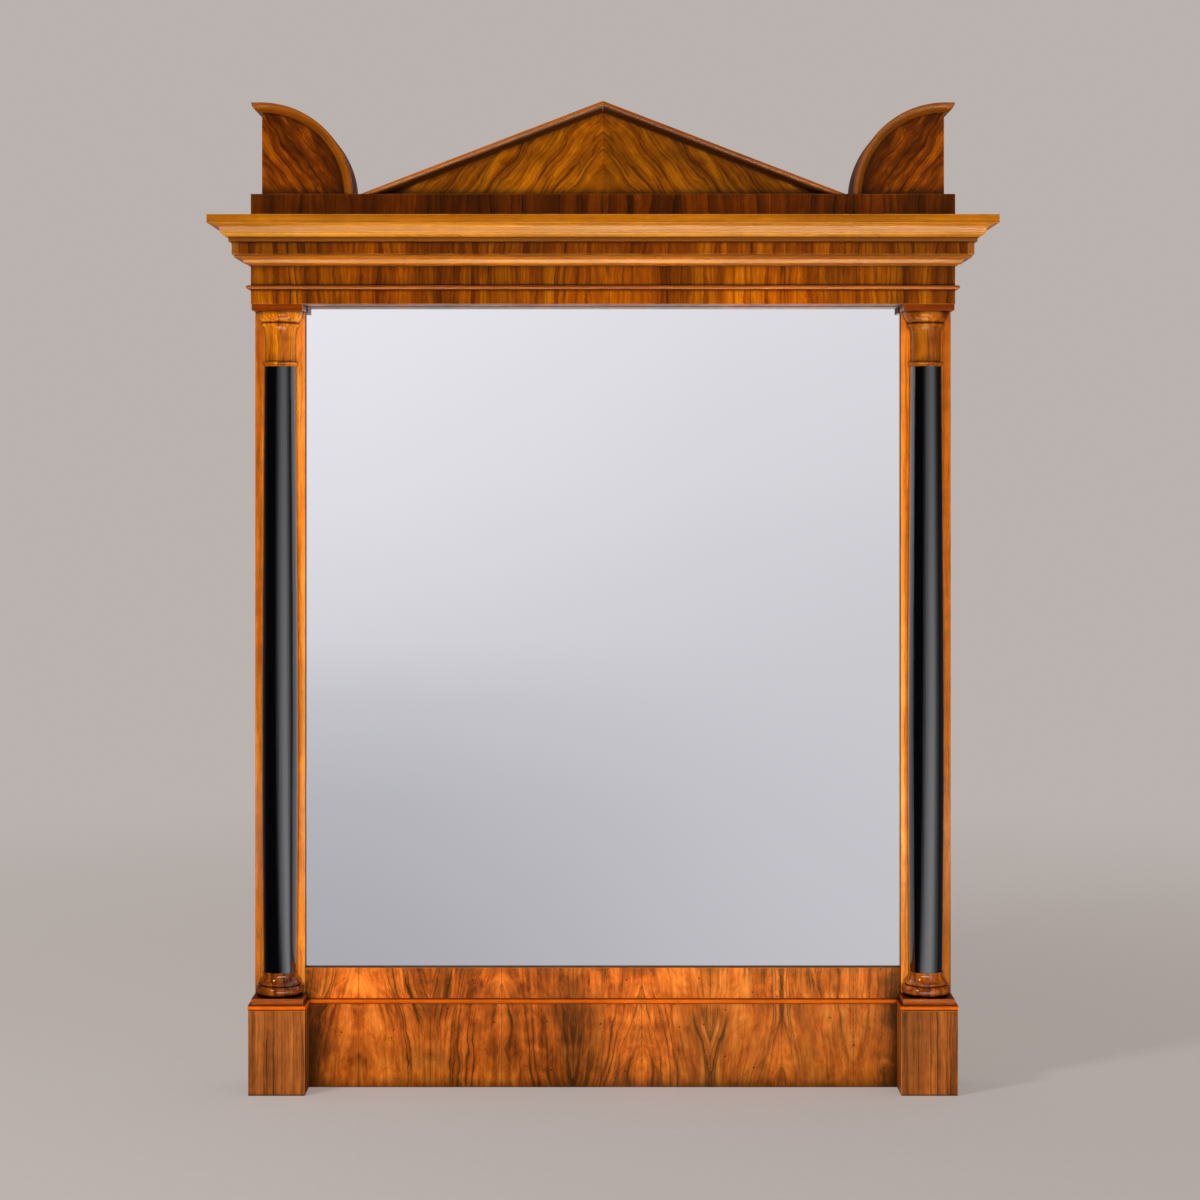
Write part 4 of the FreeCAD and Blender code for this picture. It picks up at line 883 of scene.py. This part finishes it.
def finishes():
    wooden("walnut_base", look("base"), "base_veneer", figure="leaves")
    wooden("walnut_stile_left", look("stile"), "stile_veneer_left")
    wooden("walnut_stile_right", look("stile", seed=9.0, shade=0.11), "stile_veneer_right")
    wooden("walnut_plinth_left", look("plinth"), "plinth_left")
    # The right plinth's tint makes it lighter than the left: painted light
    wooden("walnut_plinth_right", look("plinth", seed=6.0, cast=(1.15, 1.1, 0.9, 1.0)), "plinth_right")
    wooden("walnut_architrave", look("cross"), "architrave")
    wooden("walnut_frieze", look("cross", tones=FRIEZE_TONES), "frieze_board", "entablature_ends")
    wooden("walnut_fascia", look("cross", tones=FASCIA_TONES), "fascia_front")
    wooden("walnut_fascia_side", look("rail", seed=13.0, tones=SIDE_TONES), *both("fascia"))
    wooden("walnut_attic", look("attic"), "attic_veneer")
    wooden("amber_bead", look("bead"), "base_bead", *both("plinth_cap"), grain="x")
    line = look("rail", seed=15.0, tones=LINE_TONES, grime=0.98)
    wooden("amber_frieze_bead", line, "frieze_bead_front", grain="x")
    wooden("amber_frieze_bead_side", line, *both("frieze_bead"), grain="y")
    wooden("walnut_foot_plate", look("foot"), *both("foot_plate"), grain="x")
    wooden("walnut_abacus", look("plate"), *both("abacus"), grain="x")
    crown = look("moulding", cast=(0.90, 0.93, 0.85, 1.0), dark_foot=(CROWN_FOOT, srgb(112, 54, 10)),
                 proud=CROWN_HIGHLIGHT_BAND)
    bed = look("moulding", tones=BED_TONES, proud=BED_HIGHLIGHT_BAND, rub=0.9, rubbed=srgb(214, 164, 126))
    wooden("amber_bed", bed, "bed_moulding_front", grain="x")
    wooden("amber_crown", crown, "crown_moulding_front", grain="x")
    wooden("amber_bed_side", bed, *both("bed_moulding"), grain="y")
    wooden("amber_crown_side", crown, *both("crown_moulding"), grain="y")
    wooden("amber_cornice",
           look("moulding", seed=19.0, tones=CORNICE_TONES, shine=0.28, coat=0.06, bare_back=True),
           "cornice_board", grain="x")
    # The left and right turned bases, capitals and corner moulding copies get different tints: painted
    # light and shade on the two sides
    wooden("walnut_turned_left", look("turned", cast=(0.80, 0.86, 0.8, 1.0)), "column_base_left")
    wooden("walnut_turned_right", look("turned", seed=31.0, cast=(1.0, 1.1, 0.75, 1.0)),
           "column_base_right")
    wooden("walnut_capital_left", look("capital", cast=(1.45, 1.5, 1.7, 1.0)), "capital_left")
    wooden("walnut_capital_right", look("capital", seed=35.0, cast=(0.60, 0.50, 0.4, 1.0)), "capital_right")
    # The raking mouldings carry a painted shadow on their lower half
    rake = look("rail", hollow=srgb(26, 8, 2))
    wooden("walnut_rake_left", rake, "raking_moulding_left", figure=(PEDIMENT_SLOPE, False))
    wooden("walnut_rake_right", rake, "raking_moulding_right", figure=(-PEDIMENT_SLOPE, False))
    wooden("walnut_corner_moulding_left", look("crest", cast=(0.87, 0.75, 0.4, 1.0)),
           "acroterion_moulding_left", figure="corner")
    wooden("walnut_corner_moulding_right", look("crest", cast=(0.72, 0.62, 0.35, 1.0)),
           "acroterion_moulding_right", figure="corner")
    wooden("walnut_pediment", look("pediment"), "pediment_board", figure=PEDIMENT_FIGURE)
    wooden("walnut_corner", look("corner"), *both("acroterion"), figure=CORNER_FIGURE)
    shafts()
    dress(silvered_glass(), "mirror_plate")
    for part, seed, early, late in BOARDS:
        dress(bare_softwood("back_" + part, "z", seed, early, late), "back_board_" + part)
    upright = bare_softwood("softwood_upright", "z", 3.6, srgb(168, 126, 82), srgb(118, 76, 42), stain=True)
    level = bare_softwood("softwood_level", "x", 4.0, srgb(164, 124, 84), srgb(116, 76, 44), stain=True)
    dress(upright, *both("stile"), "plate_blocks")
    dress(level, "bottom_rail", "top_rail", "attic_block", "glue_blocks", "fascia_packing")
    brass = old_metal("dull_brass", srgb(190, 150, 84), srgb(120, 90, 50), 1.0)
    dress(brass, *both("hanger_strap"), *both("hanger_ring"), "hanger_screws")
    dress(old_metal("dull_iron", srgb(110, 106, 102), srgb(62, 54, 48), 2.0), "back_board_nails")


def camera():
    data = bpy.data.cameras.new("view")
    data.sensor_fit = "HORIZONTAL"
    data.angle = 2 * math.atan(PHOTO_SIDE / 2 / FOCAL_PIXELS)
    data.shift_x = (PHOTO_SIDE / 2 - AXIS_PIXEL[0]) / PHOTO_SIDE
    data.shift_y = (AXIS_PIXEL[1] - PHOTO_SIDE / 2) / PHOTO_SIDE
    view = bpy.data.objects.new("view", data)
    view.location = CAMERA_PLACE
    view.rotation_euler = (math.pi / 2, 0, 0)
    bpy.context.scene.collection.objects.link(view)
    bpy.context.scene.camera = view


def light_only(lamp, names, with_floor=False):
    """Keeps a lamp's light, and its reflection, to some of the nodes."""
    reached = bpy.data.collections.new("lit_by_" + lamp.name)
    for name in names:
        reached.objects.link(shown[name])
    if with_floor:
        reached.objects.link(bpy.data.objects["floor"])
    lamp.light_linking.receiver_collection = reached


def panel_light(name, place, target, size, power, colour):
    """A soft rectangular lamp that points at a target."""
    data = bpy.data.lights.new(name, "AREA")
    data.shape = "RECTANGLE"
    data.size, data.size_y = size
    data.energy = power
    data.color = colour
    lamp = bpy.data.objects.new(name, data)
    lamp.location = place
    direction = [to - at for to, at in zip(target, place)]
    flat = math.hypot(direction[0], direction[1])
    lamp.rotation_euler = (math.atan2(flat, -direction[2]), 0, math.atan2(-direction[0], direction[1]))
    bpy.context.scene.collection.objects.link(lamp)
    return lamp


# The point in the studio that the floor's glow fans out from, in front of the plate and over the floor
FAN_PLACE = (-3.22, 0.742)
# What gloss and the mirror see, by the slope of the view: from the near floor up to the air far out, on
# the left and on the right of the plate
SLOPES = (-0.185, -0.1615, -0.123, -0.0846, -0.0615, -0.0269, 0.0, 0.07)
LEFT_LEVELS = (180, 184, 192, 208, 224, 233, 238, 246)
RIGHT_LEVELS = (206, 208, 211, 214, 216, 220, 225, 233)
BLUE_CAST = 6
# The plate's view turns from the left levels to the right ones between these angles, in radians
PLATE_TURN = 0.13
# What softer gloss sees: grey levels by the angle in turns, with a gain, and by the slope of the view
SIDE_GAIN = 1.35
SIDE_LEVELS = ((0.0, 100), (0.25, 12), (0.43, 12), (0.47, 130), (0.51, 200), (0.57, 250), (0.62, 255),
               (0.69, 130), (0.74, 50), (0.86, 44), (1.0, 100))
RISE_LEVELS = ((0.0, 255), (0.35, 240), (0.73, 214), (1.0, 188))
FLOOR_COLOUR = srgb(245, 240, 237)
FLOOR_GRAIN = srgb(204, 198, 194)
FLOOR_REACH = 60.0
# How far out the floor starts to melt into the air, and where it has done so
FLOOR_FADE = (0.7, 3.0)
AIR_COLOUR = srgb(186, 178, 174)
FILL_COLOUR = srgb(160, 153, 149)
# The nodes that the lamp below the cornice reaches
HEAD_NODES = ("cornice_board", "crown_moulding_front", "bed_moulding_front", "frieze_bead_front",
              *both("crown_moulding"), *both("bed_moulding"), *both("frieze_bead"), *both("capital"),
              *both("raking_moulding"), *both("acroterion_moulding"))
WHITE_LIGHT = (1.0, 1.0, 1.0)
WARM_LIGHT = (1.0, 0.985, 0.96)
# Each lamp's name, place, target, size, power in watts, and colour
LAMPS = (("key", (-1.9, -1.75, 2.3), (0.0, -0.05, 0.65), (0.4, 0.4), 25, WHITE_LIGHT),
         ("side", (1.75, -1.75, 0.62), (0.0, -0.05, 0.60), (1.1, 1.1), 4.2, WARM_LIGHT),
         ("low", (0.1, -1.5, 0.05), (0.0, -0.10, 0.90), (1.6, 0.35), 20, WARM_LIGHT),
         ("under", (0.0, -0.42, 0.03), (0.0, -0.30, 1.0), (1.1, 0.26), 8, WHITE_LIGHT),
         ("back", (0.9, 2.4, 1.6), (0.0, 0.0, 0.6), (1.4, 1.0), 46, WHITE_LIGHT))


def lights():
    """A small key from the upper left, soft light from the right and from below, and one behind. None of
    them shows in the plate."""
    key, side, low, under, back = [panel_light(*row) for row in LAMPS]
    back.visible_glossy = False
    under.visible_camera = False
    frame_parts = [name for name in nodes if name != "mirror_plate"]
    but_shafts = [name for name in frame_parts if name not in both("column_shaft")]
    light_only(key, frame_parts, with_floor=True)
    light_only(side, but_shafts)
    light_only(back, frame_parts)
    light_only(low, but_shafts)
    light_only(under, HEAD_NODES)


def surround(graph, turn, slope, bearing):
    """Colour by direction, for gloss and the mirror: turn to the right in radians and slope upwards as
    the plate's view has them, and the bearing from the object. The plate, which reflects sharply, sees a
    pale room all round. Softer gloss sees that room dark on the left and bright on the right."""
    low, high = SLOPES[0], SLOPES[-1]
    rise = graph.span(slope, low, high, smooth=False)
    places = [(stop - low) / (high - low) for stop in SLOPES]
    left = graph.greys(rise, zip(places, LEFT_LEVELS), BLUE_CAST)
    right = graph.greys(rise, zip(places, RIGHT_LEVELS), BLUE_CAST - 2)
    plate = graph.mix(graph.span(turn, -PLATE_TURN, PLATE_TURN), left, right)
    share = graph.span(bearing, -math.pi, math.pi, smooth=False)
    around = graph.scaled(graph.greys(share, SIDE_LEVELS, BLUE_CAST), SIDE_GAIN)
    soft = graph.tint(graph.greys(rise, RISE_LEVELS), around)
    path = graph.add("ShaderNodeLightPath")
    return graph.mix(path.outputs["Is Singular Ray"], soft, plate)


def world():
    """The studio's air: plain to the camera, and by direction to gloss."""
    graph = Graph("studio", "worlds")
    x, y, z = graph.split(graph.sources["Generated"])
    turn = graph.math("ARCTAN2", x, graph.times(y, -1.0))
    reflected = surround(graph, turn, z, turn)
    path = graph.add("ShaderNodeLightPath")
    direct = graph.mix(path.outputs["Is Camera Ray"], FILL_COLOUR, AIR_COLOUR)
    back = graph.add("ShaderNodeBackground", graph.mix(path.outputs["Is Glossy Ray"], direct, reflected))
    bpy.context.scene.world = graph.close(back.outputs[0], "ShaderNodeOutputWorld")


def floor():
    """A wide pale floor that melts into the air far out. Gloss and the mirror see it glowing by direction,
    as surround gives it, and not lit by the lamps: a painted reflection.
    """
    mesh = bpy.data.meshes.new("floor")
    far = FLOOR_REACH
    mesh.from_pydata([(-far, -far, 0), (far, -far, 0), (far, far, 0), (-far, far, 0)], [], [(0, 1, 2, 3)])
    ground = bpy.data.objects.new("floor", mesh)
    bpy.context.scene.collection.objects.link(ground)
    graph = Graph("pale_floor")
    x, y, z = graph.split(graph.place)
    forward = graph.minus(-FAN_PLACE[0], y)
    turn = graph.math("ARCTAN2", x, forward)
    drop = graph.math("DIVIDE", -FAN_PLACE[1], graph.math("MAXIMUM", forward, 0.5))
    bearing = graph.math("ARCTAN2", x, graph.times(y, -1.0))
    glow = graph.add("ShaderNodeEmission", surround(graph, turn, drop, bearing)).outputs[0]
    grain = graph.vary(graph.noise(graph.place, 60.0, 3.0), 0.0, 0.06)
    pale = graph.add("ShaderNodeBsdfDiffuse", graph.mix(grain, FLOOR_COLOUR, FLOOR_GRAIN)).outputs[0]
    air = graph.add("ShaderNodeEmission", AIR_COLOUR).outputs[0]
    reach = graph.span(graph.length(graph.place), *FLOOR_FADE, 0.45, 1.0)
    sweep = graph.add("ShaderNodeMixShader", reach, pale, air).outputs[0]
    path = graph.add("ShaderNodeLightPath")
    blend = graph.add("ShaderNodeMixShader", path.outputs["Is Glossy Ray"], sweep, glow).outputs[0]
    mesh.materials.append(graph.close(blend))


finishes()
camera()
world()
floor()
lights()
bpy.context.scene.view_settings.view_transform = "Standard"
